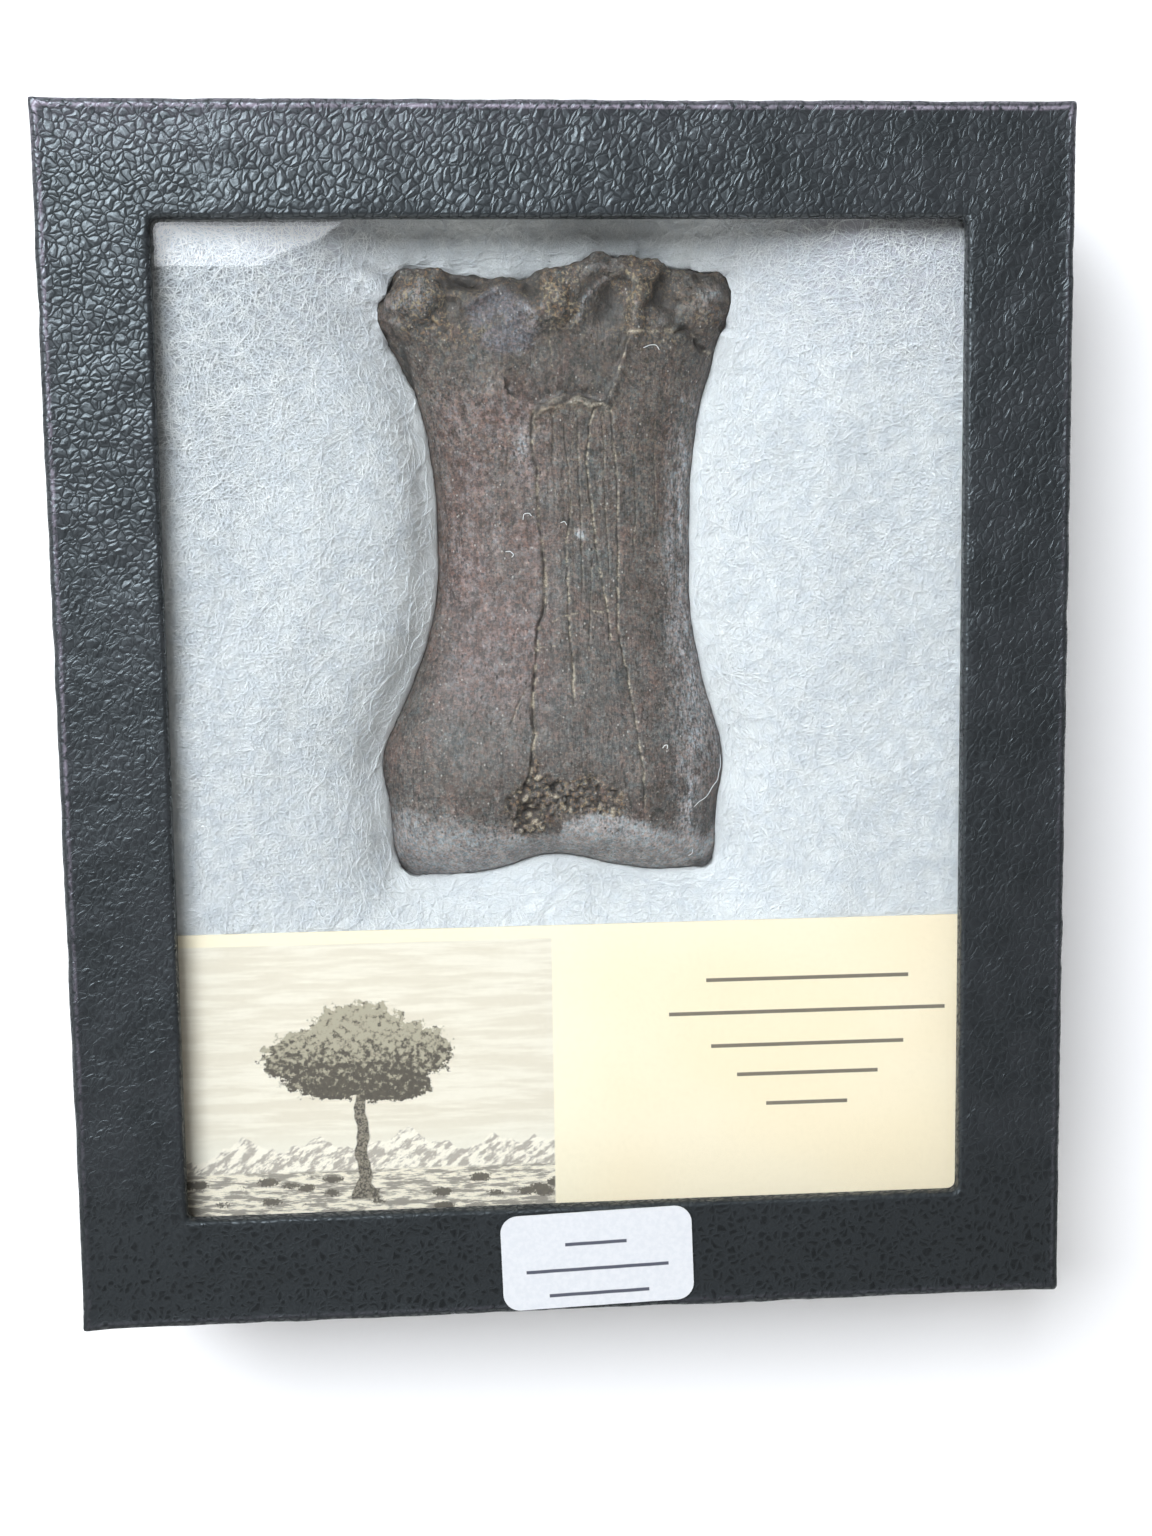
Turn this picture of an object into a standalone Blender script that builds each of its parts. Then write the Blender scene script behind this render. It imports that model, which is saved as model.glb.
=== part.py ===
"""A fossil horse phalanx bedded in fibre in a small glass-fronted display case.

The case lies on its back. The origin is the centre of its underside, +X is the
case's right, +Y its top and +Z points out through the glass.
"""
import math

import bmesh
import bpy
from mathutils import Matrix, Vector

MM = 0.001
COLLECTION_NAME = "phalanx_display_case"
GAP = 0.3 * MM

# Case, outside
CASE_WIDTH = 127.0 * MM
CASE_LENGTH = 152.4 * MM
CASE_DEPTH = 38.1 * MM
WALL = 1.5 * MM
BOARD = 2.0 * MM
WINDOW_WIDTH = 100.0 * MM
WINDOW_LENGTH = 124.6 * MM
WINDOW_FLARE = 0.8 * MM
RIM_ROUND = 1.1 * MM
LID_LIFT = 1.6 * MM

# Pane, card and label
GLASS_THICKNESS = 2.0 * MM
PAPER = 0.3 * MM
CARD_WIDTH = 112.0 * MM
CARD_TOP = -26.0 * MM
CARD_BOTTOM = -70.0 * MM
LABEL_WIDTH = 24.8 * MM
LABEL_HEIGHT = 12.6 * MM
LABEL_CORNER = 2.2 * MM
LABEL_CENTRE = (2.4 * MM, -69.1 * MM)
LABEL_TURN = math.radians(1.7)

# Pins through the side walls
PIN_SHANK = 0.35 * MM
PIN_LENGTH = 9.0 * MM
PIN_HEAD = 1.6 * MM
PIN_HEAD_HEIGHT = 0.8 * MM
PIN_Y = 45.0 * MM
PIN_Z = 17.0 * MM
PIN_STEPS = 12
PIN_HOLE_SIDES = 10
PIN_HOLE_SPARE = 4.0 * MM

# Levels, worked out from the front face downwards
GLASS_TOP = CASE_DEPTH - BOARD - GAP
GLASS_BOTTOM = GLASS_TOP - GLASS_THICKNESS
CARD_LEVEL = GLASS_BOTTOM - GAP
PAD_TOP = CARD_LEVEL - PAPER - GAP
PAD_BOTTOM = BOARD + GAP
TRAY_WALL_TOP = GLASS_BOTTOM - GAP

# Pad
PAD_ROUND = 2.5 * MM

# Bone stations, in millimetres. Each gives the place along the bone, the left
# and right edges, then three levels below the case's front face: the dorsal
# crown, the widest line and the palmar side. Last come the squareness of the
# dorsal and the palmar half, where 2 is an ellipse.
BONE_STATIONS = (
    (-21.6, -19.8, 18.8, 17.0, 19.0, 21.0, 2.2, 2.2),
    (-21.0, -21.2, 20.0, 14.7, 19.0, 23.3, 2.2, 2.2),
    (-20.0, -22.5, 20.7, 12.7, 18.9, 25.3, 2.3, 2.3),
    (-18.0, -23.5, 21.0, 10.4, 18.8, 27.6, 2.5, 2.5),
    (-15.0, -23.8, 20.8, 8.5, 18.4, 29.5, 2.6, 2.6),
    (-11.0, -24.1, 21.0, 7.5, 18.0, 30.2, 2.6, 2.6),
    (-6.5, -24.8, 21.8, 7.4, 17.6, 29.4, 2.5, 2.4),
    (-3.0, -24.2, 21.4, 7.7, 17.3, 28.8, 2.4, 2.4),
    (2.5, -21.7, 19.6, 8.3, 17.0, 28.0, 2.3, 2.4),
    (7.0, -19.3, 18.5, 8.7, 17.0, 27.6, 2.3, 2.4),
    (13.0, -17.7, 17.7, 9.0, 17.0, 27.2, 2.2, 2.4),
    (20.0, -16.8, 17.4, 9.0, 17.0, 27.0, 2.2, 2.4),
    (28.0, -16.9, 17.5, 8.6, 17.0, 27.0, 2.2, 2.4),
    (35.0, -17.6, 18.0, 7.9, 17.0, 27.4, 2.2, 2.4),
    (41.0, -18.9, 19.0, 6.9, 17.0, 28.6, 2.3, 2.5),
    (46.5, -21.4, 20.4, 6.0, 17.0, 30.4, 2.4, 2.6),
    (50.5, -23.7, 21.6, 5.4, 17.0, 32.2, 2.6, 2.8),
    (54.5, -24.3, 23.1, 5.4, 17.0, 33.0, 2.8, 3.0),
    (57.0, -23.2, 22.6, 6.6, 17.0, 32.0, 2.8, 3.0),
)
BONE_AROUND = 44
BONE_STEP = 2.3
BONE_END_STEP = 1.3
BONE_TIP_STEP = 0.6
LOWER_END = 7.5
UPPER_END = 10.0
TIP = 1.0

# The broken upper rim, across the bone and along it, in millimetres
RIM_LINE = (
    (-24.3, 55.0),
    (-22.5, 56.8),
    (-17.5, 58.0),
    (-13.0, 57.4),
    (-9.0, 56.2),
    (-3.0, 56.4),
    (0.5, 58.0),
    (4.5, 59.6),
    (9.5, 59.8),
    (12.8, 59.0),
    (15.0, 57.5),
    (21.0, 57.4),
    (23.2, 55.6),
)
RIM_START = 47.0
CUP_CENTRES = (-12.0, 11.5)
CUP_RADIUS = 7.5
CUP_DEPTH = 2.2
SAGITTAL_GROOVE_DEPTH = 1.6
SAGITTAL_GROOVE_HALF_WIDTH = 2.5
FACE_SHARES = (0.93, 0.75, 0.5, 0.22)
FACE_DROP = 0.5

# The arch between the two lower condyles, in millimetres
ARCH_HEIGHT = 2.9
ARCH_HALF_WIDTH = 7.5
ARCH_X = -1.0
ARCH_START = -8.0

# Low relief of the dorsal face: x, y, half-width, half-length and height, in
# millimetres. A minus sign is a hollow.
DORSAL_RELIEF = (
    (-18.5, 54.0, 4.0, 4.0, 0.6),
    (-12.0, 51.0, 4.0, 5.0, -0.7),
    (-7.0, 50.0, 3.5, 4.0, -0.5),
    (0.0, 53.5, 2.5, 4.0, 0.4),
    (5.0, 51.5, 3.2, 4.5, -0.9),
    (11.5, 54.0, 3.0, 5.0, 0.4),
    (19.0, 53.0, 3.0, 4.0, 0.5),
    (-1.5, -10.5, 7.0, 3.6, -1.0),
    (16.5, 2.0, 2.6, 11.0, 0.4),
    (-17.5, 2.0, 2.6, 11.0, 0.4),
)
# The relief fades out below this sine of the angle round the section
RELIEF_SINE = 0.2
# The hollow on each side of the lower end: y, level, radius and depth
LIGAMENT_PIT = (-11.5, 20.0, 3.4, 0.7)
SIDE_START = 10.0
SIDE_FULL = 18.0
# The groove along the palmar side of each end: where it starts and is deepest
PALMAR_GROOVE_DEPTH = 2.6
PALMAR_GROOVE_HALF_WIDTH = 6.0
PALMAR_GROOVE_X = -0.5
PALMAR_GROOVE_UPPER = (30.0, 52.0, 1.0)
PALMAR_GROOVE_LOWER = (-6.0, -16.0, 0.8)

# Flakes missing from the dorsal face. Each has its outline in millimetres,
# then the plane that it leaves: its level at the first point of the outline,
# and how fast the level falls towards +X and +Y.
SCARS = (
    (
        (
            (-7.2, 42.6),
            (-6.0, 41.0),
            (-4.0, 40.4),
            (-2.0, 40.6),
            (-0.2, 41.6),
            (0.8, 40.8),
            (2.0, 41.2),
            (3.0, 40.8),
            (5.0, 41.0),
            (6.2, 43.0),
            (7.2, 47.0),
            (7.9, 49.0),
            (1.6, 49.4),
            (-1.0, 50.4),
            (-3.5, 50.0),
            (-6.4, 47.5),
        ),
        (7.9, 0.0, -0.13),
    ),
    (
        (
            (1.4, 50.1),
            (7.9, 49.7),
            (9.2, 52.5),
            (8.8, 56.6),
            (5.2, 55.8),
        ),
        (5.9, 0.22, 0.02),
    ),
    (
        (
            (8.4, 49.2),
            (11.0, 49.4),
            (13.0, 48.8),
            (16.0, 48.6),
            (17.2, 47.4),
            (20.5, 46.0),
            (25.0, 47.0),
            (25.0, 60.0),
            (14.0, 58.0),
            (9.8, 53.0),
        ),
        (6.1, 0.3, 0.03),
    ),
    (
        (
            (-12.4, 52.4),
            (-11.6, 49.0),
            (-9.0, 46.4),
            (-6.9, 47.8),
            (-3.8, 50.6),
            (-4.6, 52.6),
            (-8.0, 54.8),
        ),
        (7.1, -0.12, 0.03),
    ),
)
SCAR_LIFT = 7.0 * MM

# Pits in the spongy bone above the lower condyles: x, y and radius
PITS = (
    (-4.8, -11.8, 2.0),
    (-1.2, -12.6, 1.3),
    (-7.6, -10.2, 0.9),
    (-7.4, -13.8, 0.7),
    (-4.9, -7.9, 0.9),
    (-2.2, -8.6, 1.0),
    (0.1, -6.7, 0.7),
    (0.4, -10.3, 1.1),
    (2.4, -8.6, 0.9),
    (2.9, -11.2, 0.9),
    (4.6, -7.4, 0.7),
    (5.2, -10.0, 1.0),
    (7.4, -8.9, 0.6),
)
PIT_SINK = 0.15
PIT_TURN = 0.7

# Crater round the bone in the pad: level below the front face and spread
CRATER_RINGS = (
    (18.4, 0.45),
    (15.5, 0.8),
    (12.0, 1.8),
    (9.0, 3.8),
    (6.8, 7.5),
    (4.5, 15.0),
)
CRATER_SIDE_PLACES = (-19.6, -15.0, -9.0, -3.0, 3.0, 10.0, 18.0, 27.0, 36.0, 43.0, 49.0, 54.0)
CRATER_TOP_PLACES = (21.5, 13.0, 5.0, -3.0, -12.0, -21.0)
CRATER_FOOT_PLACES = (-18.0, -10.0, -1.0, 8.0, 17.0)
# Near the card the crater is narrower by this share
CRATER_FOOT_SHARE = 0.6
CRATER_FOOT_START = -8.0
CRATER_FOOT_FULL = -20.0
POCKET_AROUND = 32
POCKET_SWELL = 0.9


def clear_scene():
    """Remove every object and the collections that held them."""
    for item in list(bpy.data.objects):
        bpy.data.objects.remove(item, do_unlink=True)
    for group in list(bpy.data.collections):
        bpy.data.collections.remove(group)


def new_collection(name):
    """Add a collection to the scene."""
    group = bpy.data.collections.new(name)
    bpy.context.scene.collection.children.link(group)
    return group


def new_material(name, colour, roughness, metallic=0.0, transmission=0.0):
    """Make a Principled material with the piece's plain finish."""
    made = bpy.data.materials.new(name)
    made.use_nodes = True
    shader = made.node_tree.nodes["Principled BSDF"]
    shader.inputs["Base Color"].default_value = (*colour, 1.0)
    shader.inputs["Roughness"].default_value = roughness
    shader.inputs["Metallic"].default_value = metallic
    shader.inputs["Transmission Weight"].default_value = transmission
    made.diffuse_color = (*colour, 1.0)
    return made


def add_object(name, mesh_builder, group, finish=None):
    """Turn a bmesh into a named object in a collection."""
    mesh = bpy.data.meshes.new(name)
    mesh_builder.to_mesh(mesh)
    mesh_builder.free()
    item = bpy.data.objects.new(name, mesh)
    group.objects.link(item)
    if finish is not None:
        mesh.materials.append(finish)
    return item


def as_cutter(item):
    """Mark an object as a guide that is not part of the model."""
    item.hide_render = True
    item.display_type = "WIRE"
    return item


def cut(item, cutter):
    """Subtract a cutter from an object."""
    step = item.modifiers.new("cut_" + cutter.name, "BOOLEAN")
    step.operation = "DIFFERENCE"
    step.solver = "EXACT"
    step.object = cutter


def block(low, high):
    """Make a bmesh box between two corners."""
    low, high = Vector(low), Vector(high)
    shape = bmesh.new()
    bmesh.ops.create_cube(shape, size=1.0)
    bmesh.ops.scale(shape, vec=high - low, verts=shape.verts)
    bmesh.ops.translate(shape, vec=(low + high) / 2, verts=shape.verts)
    return shape


def upright_edges(shape):
    """List the edges that run along Z."""
    return [edge for edge in shape.edges if is_upright(edge)]


def is_upright(edge):
    """Say whether an edge runs along Z."""
    run = edge.verts[1].co - edge.verts[0].co
    return abs(run.z) > 0.9 * run.length


def edges_at_level(shape, level):
    """List the edges that lie at one height."""
    return [edge for edge in shape.edges if all(abs(v.co.z - level) < 1e-7 for v in edge.verts)]


def round_edges(shape, edges, radius, segments):
    """Round some edges of a bmesh."""
    bmesh.ops.bevel(
        shape,
        geom=edges,
        offset=radius,
        offset_type="OFFSET",
        affect="EDGES",
        segments=segments,
        profile=0.5,
        material=-1,
    )


def hermite(points, place):
    """Read a smooth curve through (place, value) points at one place."""
    last = len(points) - 1
    if place <= points[0][0]:
        return points[0][1]
    if place >= points[last][0]:
        return points[last][1]
    index = max(i for i in range(last) if points[i][0] <= place)
    (x0, v0), (x1, v1) = points[index], points[index + 1]
    before = points[max(index - 1, 0)]
    after = points[min(index + 2, last)]
    slope0 = (v1 - before[1]) / (x1 - before[0])
    slope1 = (after[1] - v0) / (after[0] - x0)
    run = x1 - x0
    t = (place - x0) / run
    return (
        v0 * (1 + 2 * t) * (1 - t) ** 2
        + slope0 * run * t * (1 - t) ** 2
        + v1 * t * t * (3 - 2 * t)
        - slope1 * run * t * t * (1 - t)
    )


def smooth_step(start, end, place):
    """Rise from 0 at start to 1 at end with level ends."""
    t = min(max((place - start) / (end - start), 0.0), 1.0)
    return t * t * (3 - 2 * t)


def bell(distance):
    """Fall smoothly from 1 as the scaled distance grows."""
    return math.exp(-distance * distance)


def station(place):
    """Read all the bone's section values at one place, in millimetres."""
    columns = range(1, len(BONE_STATIONS[0]))
    return [hermite([(row[0], row[c]) for row in BONE_STATIONS], place) for c in columns]


def section_point(place, angle, swell=0.0):
    """Find one point of the bone's section, swollen evenly where asked."""
    left, right, crown, widest, sole, dorsal_power, palmar_power = station(place)
    middle = (left + right) / 2
    half_width = (right - left) / 2 + swell
    rise = widest - crown + swell
    drop = sole - widest + swell
    cosine, sine = math.cos(angle), math.sin(angle)
    power = dorsal_power if sine >= 0 else palmar_power
    x = middle + half_width * math.copysign(abs(cosine) ** (2 / power), cosine)
    height = abs(sine) ** (2 / power)
    level = widest - rise * height if sine >= 0 else widest + drop * height
    return x, level, sine


def end_shift(x, place):
    """Move a point along the bone to follow the rim and the lower arch."""
    top = (hermite(RIM_LINE, x) - BONE_STATIONS[-1][0]) * smooth_step(RIM_START, BONE_STATIONS[-1][0], place)
    arch = ARCH_HEIGHT * bell((x - ARCH_X) / ARCH_HALF_WIDTH)
    return top + arch * smooth_step(ARCH_START, BONE_STATIONS[0][0] + TIP, place)


def relief(x, y, level, sine):
    """Raise or hollow one point of the bone; returns its new x and level."""
    if sine > RELIEF_SINE:
        for spot_x, spot_y, half_width, half_length, height in DORSAL_RELIEF:
            level -= height * bell(math.hypot((x - spot_x) / half_width, (y - spot_y) / half_length))
    pit_y, pit_level, pit_radius, pit_depth = LIGAMENT_PIT
    pit = pit_depth * bell(math.hypot((y - pit_y) / pit_radius, (level - pit_level) / pit_radius))
    x -= math.copysign(pit, x) * smooth_step(SIDE_START, SIDE_FULL, abs(x))
    if sine < -RELIEF_SINE:
        across = bell((x - PALMAR_GROOVE_X) / PALMAR_GROOVE_HALF_WIDTH)
        for start, full, share in (PALMAR_GROOVE_UPPER, PALMAR_GROOVE_LOWER):
            level -= PALMAR_GROOVE_DEPTH * share * across * smooth_step(start, full, y)
    return x, level


def in_case(x, y, level):
    """Turn bone millimetres and a level below the front face into metres."""
    return Vector((x * MM, y * MM, CASE_DEPTH - level * MM))


def bone_places():
    """List where the bone's rings lie: closer together at both ends."""
    first, last = BONE_STATIONS[0][0], BONE_STATIONS[-1][0]
    places = [first]
    while places[-1] < last:
        here = places[-1]
        step = BONE_STEP
        if here < first + LOWER_END or here > last - UPPER_END:
            step = BONE_END_STEP
        if here < first + TIP:
            step = BONE_TIP_STEP
        places.append(last if here + 1.2 * step > last else here + step)
    return places


def ring(shape, place, count, swell=0.0, with_relief=True):
    """Add one ring of vertices round the bone."""
    made = []
    for step in range(count):
        x, level, sine = section_point(place, 2 * math.pi * step / count, swell)
        y = place + end_shift(x, place)
        if with_relief:
            x, level = relief(x, y, level, sine)
        made.append(shape.verts.new(in_case(x, y, level)))
    return made


def join_rings(shape, lower, upper):
    """Add the faces between two rings with the same number of points."""
    count = len(lower)
    for step in range(count):
        after = (step + 1) % count
        shape.faces.new((lower[step], upper[step], upper[after], lower[after]))


def close_flat_ring(shape, points):
    """Close a thin ring with a strip from its dorsal to its palmar side."""
    count = len(points)
    half = count // 2
    shape.faces.new((points[0], points[1], points[count - 1]))
    for step in range(1, half - 1):
        shape.faces.new((points[step], points[step + 1], points[count - step - 1], points[count - step]))
    shape.faces.new((points[half - 1], points[half], points[half + 1]))


def face_ring(shape, place, count, share):
    """Add a ring inside the upper joint face, where two cups meet a groove."""
    left, right, crown, _, sole = station(place)[:5]
    middle_x, middle_level = (left + right) / 2, (crown + sole) / 2
    made = []
    for step in range(count):
        x, level, _ = section_point(place, 2 * math.pi * step / count)
        x = middle_x + (x - middle_x) * share
        level = middle_level + (level - middle_level) * share
        y = place + end_shift(x, place) - FACE_DROP * (1 - share)
        for cup_x in CUP_CENTRES:
            y -= CUP_DEPTH * bell(math.hypot((x - cup_x) / CUP_RADIUS, (level - middle_level) / CUP_RADIUS))
        y -= SAGITTAL_GROOVE_DEPTH * bell(x / SAGITTAL_GROOVE_HALF_WIDTH) * (1 - share)
        made.append(shape.verts.new(in_case(x, y, level)))
    return made


def build_bone(group, cutters):
    """Loft the bone, then break away the scar and pit the spongy bone."""
    shape = bmesh.new()
    rings = [ring(shape, place, BONE_AROUND) for place in bone_places()]
    top = BONE_STATIONS[-1][0]
    rings += [face_ring(shape, top, BONE_AROUND, share) for share in FACE_SHARES]
    for lower, upper in zip(rings, rings[1:]):
        join_rings(shape, lower, upper)
    close_flat_ring(shape, rings[0])
    middle = sum((vert.co for vert in rings[-1]), Vector()) / BONE_AROUND
    centre = shape.verts.new(middle)
    for step in range(BONE_AROUND):
        shape.faces.new((rings[-1][step], centre, rings[-1][(step + 1) % BONE_AROUND]))
    bmesh.ops.recalc_face_normals(shape, faces=shape.faces)
    finish = new_material("fossil_bone", (0.10, 0.078, 0.06), 0.6)
    bone = add_object("phalanx", shape, group, finish)
    for number, (outline, plane) in enumerate(SCARS, start=1):
        cut(bone, scar_cutter(cutters, number, outline, plane))
    cut(bone, pit_cutter(cutters))
    bone.data.shade_smooth()
    bone.data.set_sharp_from_angle(angle=math.radians(40))
    return bone


def scar_cutter(cutters, number, outline, plane):
    """Make one missing flake: its outline down to a sloping plane."""
    shape = bmesh.new()
    first_level, slope_x, slope_y = plane
    first_x, first_y = outline[0]
    floor = []
    for x, y in outline:
        level = first_level + slope_x * (x - first_x) + slope_y * (y - first_y)
        floor.append(shape.verts.new(in_case(x, y, level)))
    base = shape.faces.new(floor)
    grown = bmesh.ops.extrude_face_region(shape, geom=[base])
    lifted = [item for item in grown["geom"] if isinstance(item, bmesh.types.BMVert)]
    bmesh.ops.translate(shape, vec=(0, 0, SCAR_LIFT), verts=lifted)
    bmesh.ops.recalc_face_normals(shape, faces=shape.faces)
    return as_cutter(add_object(f"scar_cutter_{number}", shape, cutters))


def pit_cutter(cutters):
    """Make the small balls that hollow the spongy bone."""
    shape = bmesh.new()
    for number, (x, y, radius) in enumerate(PITS):
        spot = in_case(x, y, dorsal_level(x, y) - PIT_SINK * radius)
        bmesh.ops.create_icosphere(
            shape,
            subdivisions=1,
            radius=radius * MM,
            matrix=Matrix.Translation(spot) @ Matrix.Rotation(PIT_TURN * number, 4, "Z"),
        )
    return as_cutter(add_object("pit_cutter", shape, cutters))


def dorsal_level(x, y):
    """Find the level of the bone's dorsal face under one point."""
    left, right, crown, widest, _, dorsal_power, _ = station(y)
    across = min(abs(x - (left + right) / 2) / ((right - left) / 2), 1.0)
    level = widest - (widest - crown) * (1 - across**dorsal_power) ** (1 / dorsal_power)
    return relief(x, y, level, 1.0)[1]


def silhouette():
    """List the bone's outline from above, anticlockwise."""
    foot = BONE_STATIONS[0][0]
    points = [(station(place)[1], place) for place in CRATER_SIDE_PLACES]
    points += [(x, hermite(RIM_LINE, x)) for x in CRATER_TOP_PLACES]
    points += [(station(place)[0], place) for place in reversed(CRATER_SIDE_PLACES)]
    for x in CRATER_FOOT_PLACES:
        points.append((x, foot + ARCH_HEIGHT * bell((x - ARCH_X) / ARCH_HALF_WIDTH)))
    return [Vector(point) for point in points]


def crater_cutter(cutters):
    """Make the soft crater that the bone presses into the pad."""
    outline = silhouette()
    count = len(outline)
    shape = bmesh.new()
    rings = []
    for level, spread in CRATER_RINGS:
        points = []
        for step in range(count):
            along = outline[(step + 1) % count] - outline[step - 1]
            normal = Vector((along.y, -along.x)).normalized()
            near_card = smooth_step(CRATER_FOOT_START, CRATER_FOOT_FULL, outline[step].y)
            reach = spread * (1 - CRATER_FOOT_SHARE * near_card)
            spot = outline[step] + normal * reach
            points.append(shape.verts.new(in_case(spot.x, spot.y, level)))
        rings.append(points)
    for lower, upper in zip(rings, rings[1:]):
        join_rings(shape, lower, upper)
    shape.faces.new(rings[0])
    shape.faces.new(rings[-1])
    bmesh.ops.recalc_face_normals(shape, faces=shape.faces)
    return as_cutter(add_object("crater_cutter", shape, cutters))


def pocket_cutter(cutters):
    """Make a slightly larger, plainer bone that hollows the pad."""
    shape = bmesh.new()
    rings = [ring(shape, row[0], POCKET_AROUND, POCKET_SWELL, False) for row in BONE_STATIONS]
    bmesh.ops.translate(shape, vec=(0, -POCKET_SWELL * MM, 0), verts=rings[0])
    bmesh.ops.translate(shape, vec=(0, POCKET_SWELL * MM, 0), verts=rings[-1])
    for lower, upper in zip(rings, rings[1:]):
        join_rings(shape, lower, upper)
    close_flat_ring(shape, rings[0])
    close_flat_ring(shape, rings[-1])
    bmesh.ops.recalc_face_normals(shape, faces=shape.faces)
    return as_cutter(add_object("pocket_cutter", shape, cutters))


def pin_places():
    """List each pin's side, as -1 or 1, and its place along the case."""
    return [(side, y) for y in (PIN_Y, -PIN_Y) for side in (-1, 1)]


def pin_hole_cutter(cutters):
    """Make the rods that clear the pins' shanks."""
    shape = bmesh.new()
    length = PIN_LENGTH + PIN_HOLE_SPARE
    for side, y in pin_places():
        middle = side * (CASE_WIDTH / 2 + 0.75 * PIN_HOLE_SPARE - length / 2)
        bmesh.ops.create_cone(
            shape,
            cap_ends=True,
            segments=PIN_HOLE_SIDES,
            radius1=PIN_SHANK + GAP,
            radius2=PIN_SHANK + GAP,
            depth=length,
            matrix=Matrix.Translation((middle, y, PIN_Z)) @ Matrix.Rotation(math.pi / 2, 4, "Y"),
        )
    return as_cutter(add_object("pin_hole_cutter", shape, cutters))


def build_pins(group):
    """Turn the pins and push one through each hole."""
    finish = new_material("pin_steel", (0.55, 0.55, 0.56), 0.3, 1.0)
    profile = (
        (0.0, PIN_HEAD_HEIGHT),
        (0.55 * PIN_HEAD, 0.85 * PIN_HEAD_HEIGHT),
        (0.9 * PIN_HEAD, 0.45 * PIN_HEAD_HEIGHT),
        (PIN_HEAD, 0.1 * PIN_HEAD_HEIGHT),
        (0.95 * PIN_HEAD, 0.0),
        (PIN_SHANK, 0.0),
        (PIN_SHANK, -0.8 * PIN_LENGTH),
        (0.0, -PIN_LENGTH),
    )
    for number, (side, y) in enumerate(pin_places(), start=1):
        shape = bmesh.new()
        points = [shape.verts.new((radius, 0.0, height)) for radius, height in profile]
        for first, second in zip(points, points[1:]):
            shape.edges.new((first, second))
        pin = add_object(f"pin_{number}", shape, group, finish)
        turn = pin.modifiers.new("turn", "SCREW")
        turn.angle = 2 * math.pi
        turn.steps = PIN_STEPS
        turn.render_steps = PIN_STEPS
        turn.use_merge_vertices = True
        turn.merge_threshold = 0.00001
        turn.use_smooth_shade = True
        pin.location = (side * (CASE_WIDTH / 2 + GAP), y, PIN_Z)
        pin.rotation_euler = (0.0, side * math.pi / 2, 0.0)


def build_tray(group, cutters, pin_holes):
    """Make the open cardboard base."""
    half_x = CASE_WIDTH / 2 - WALL - GAP
    half_y = CASE_LENGTH / 2 - WALL - GAP
    shape = block((-half_x, -half_y, 0.0), (half_x, half_y, TRAY_WALL_TOP))
    round_edges(shape, upright_edges(shape), 1.0 * MM, 2)
    tray = add_object("tray", shape, group, new_material("tray_board", (0.03, 0.03, 0.032), 0.7))
    inside = block(
        (WALL - half_x, WALL - half_y, BOARD),
        (half_x - WALL, half_y - WALL, CASE_DEPTH),
    )
    cut(tray, as_cutter(add_object("tray_cutter", inside, cutters)))
    cut(tray, pin_holes)
    return tray


def window_cutter(cutters):
    """Make the window's opening, which widens at the front edge."""
    half_x, half_y = WINDOW_WIDTH / 2, WINDOW_LENGTH / 2
    top = CASE_DEPTH - WINDOW_FLARE
    shape = block((-half_x, -half_y, GLASS_BOTTOM), (half_x, half_y, top))
    face = max(shape.faces, key=lambda item: item.calc_center_median().z)
    for reach in (WINDOW_FLARE, WINDOW_FLARE):
        grown = bmesh.ops.extrude_face_region(shape, geom=[face])
        bmesh.ops.delete(shape, geom=[face], context="FACES_ONLY")
        lifted = [item for item in grown["geom"] if isinstance(item, bmesh.types.BMVert)]
        face = next(item for item in grown["geom"] if isinstance(item, bmesh.types.BMFace))
        for vert in lifted:
            vert.co += Vector((math.copysign(reach, vert.co.x), math.copysign(reach, vert.co.y), reach))
    bmesh.ops.recalc_face_normals(shape, faces=shape.faces)
    return as_cutter(add_object("window_cutter", shape, cutters))


def build_lid(group, cutters, pin_holes):
    """Make the covered lid: a windowed front board with side walls."""
    half_x, half_y = CASE_WIDTH / 2, CASE_LENGTH / 2
    shape = block((-half_x, -half_y, LID_LIFT), (half_x, half_y, CASE_DEPTH))
    outer = upright_edges(shape) + edges_at_level(shape, CASE_DEPTH)
    round_edges(shape, outer, RIM_ROUND, 3)
    lid = add_object("lid", shape, group, new_material("leatherette", (0.03, 0.033, 0.036), 0.45))
    inside = block(
        (WALL - half_x, WALL - half_y, -BOARD),
        (half_x - WALL, half_y - WALL, CASE_DEPTH - BOARD),
    )
    cut(lid, as_cutter(add_object("lid_cutter", inside, cutters)))
    cut(lid, window_cutter(cutters))
    cut(lid, pin_holes)
    return lid


def build_glass(group):
    """Make the flat pane that lies behind the lid's front board."""
    edge = WALL + GAP
    half_x, half_y = CASE_WIDTH / 2 - edge, CASE_LENGTH / 2 - edge
    shape = block((-half_x, -half_y, GLASS_BOTTOM), (half_x, half_y, GLASS_TOP))
    round_edges(shape, list(shape.edges), 0.2 * MM, 1)
    finish = new_material("glass", (0.95, 0.98, 0.97), 0.02, transmission=1.0)
    return add_object("glass", shape, group, finish)


def build_card(group):
    """Make the card that lies on the lower part of the pad."""
    half_x = CARD_WIDTH / 2
    shape = block((-half_x, CARD_BOTTOM, CARD_LEVEL - PAPER), (half_x, CARD_TOP, CARD_LEVEL))
    return add_object("card", shape, group, new_material("card_stock", (0.83, 0.70, 0.44), 0.6))


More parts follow.
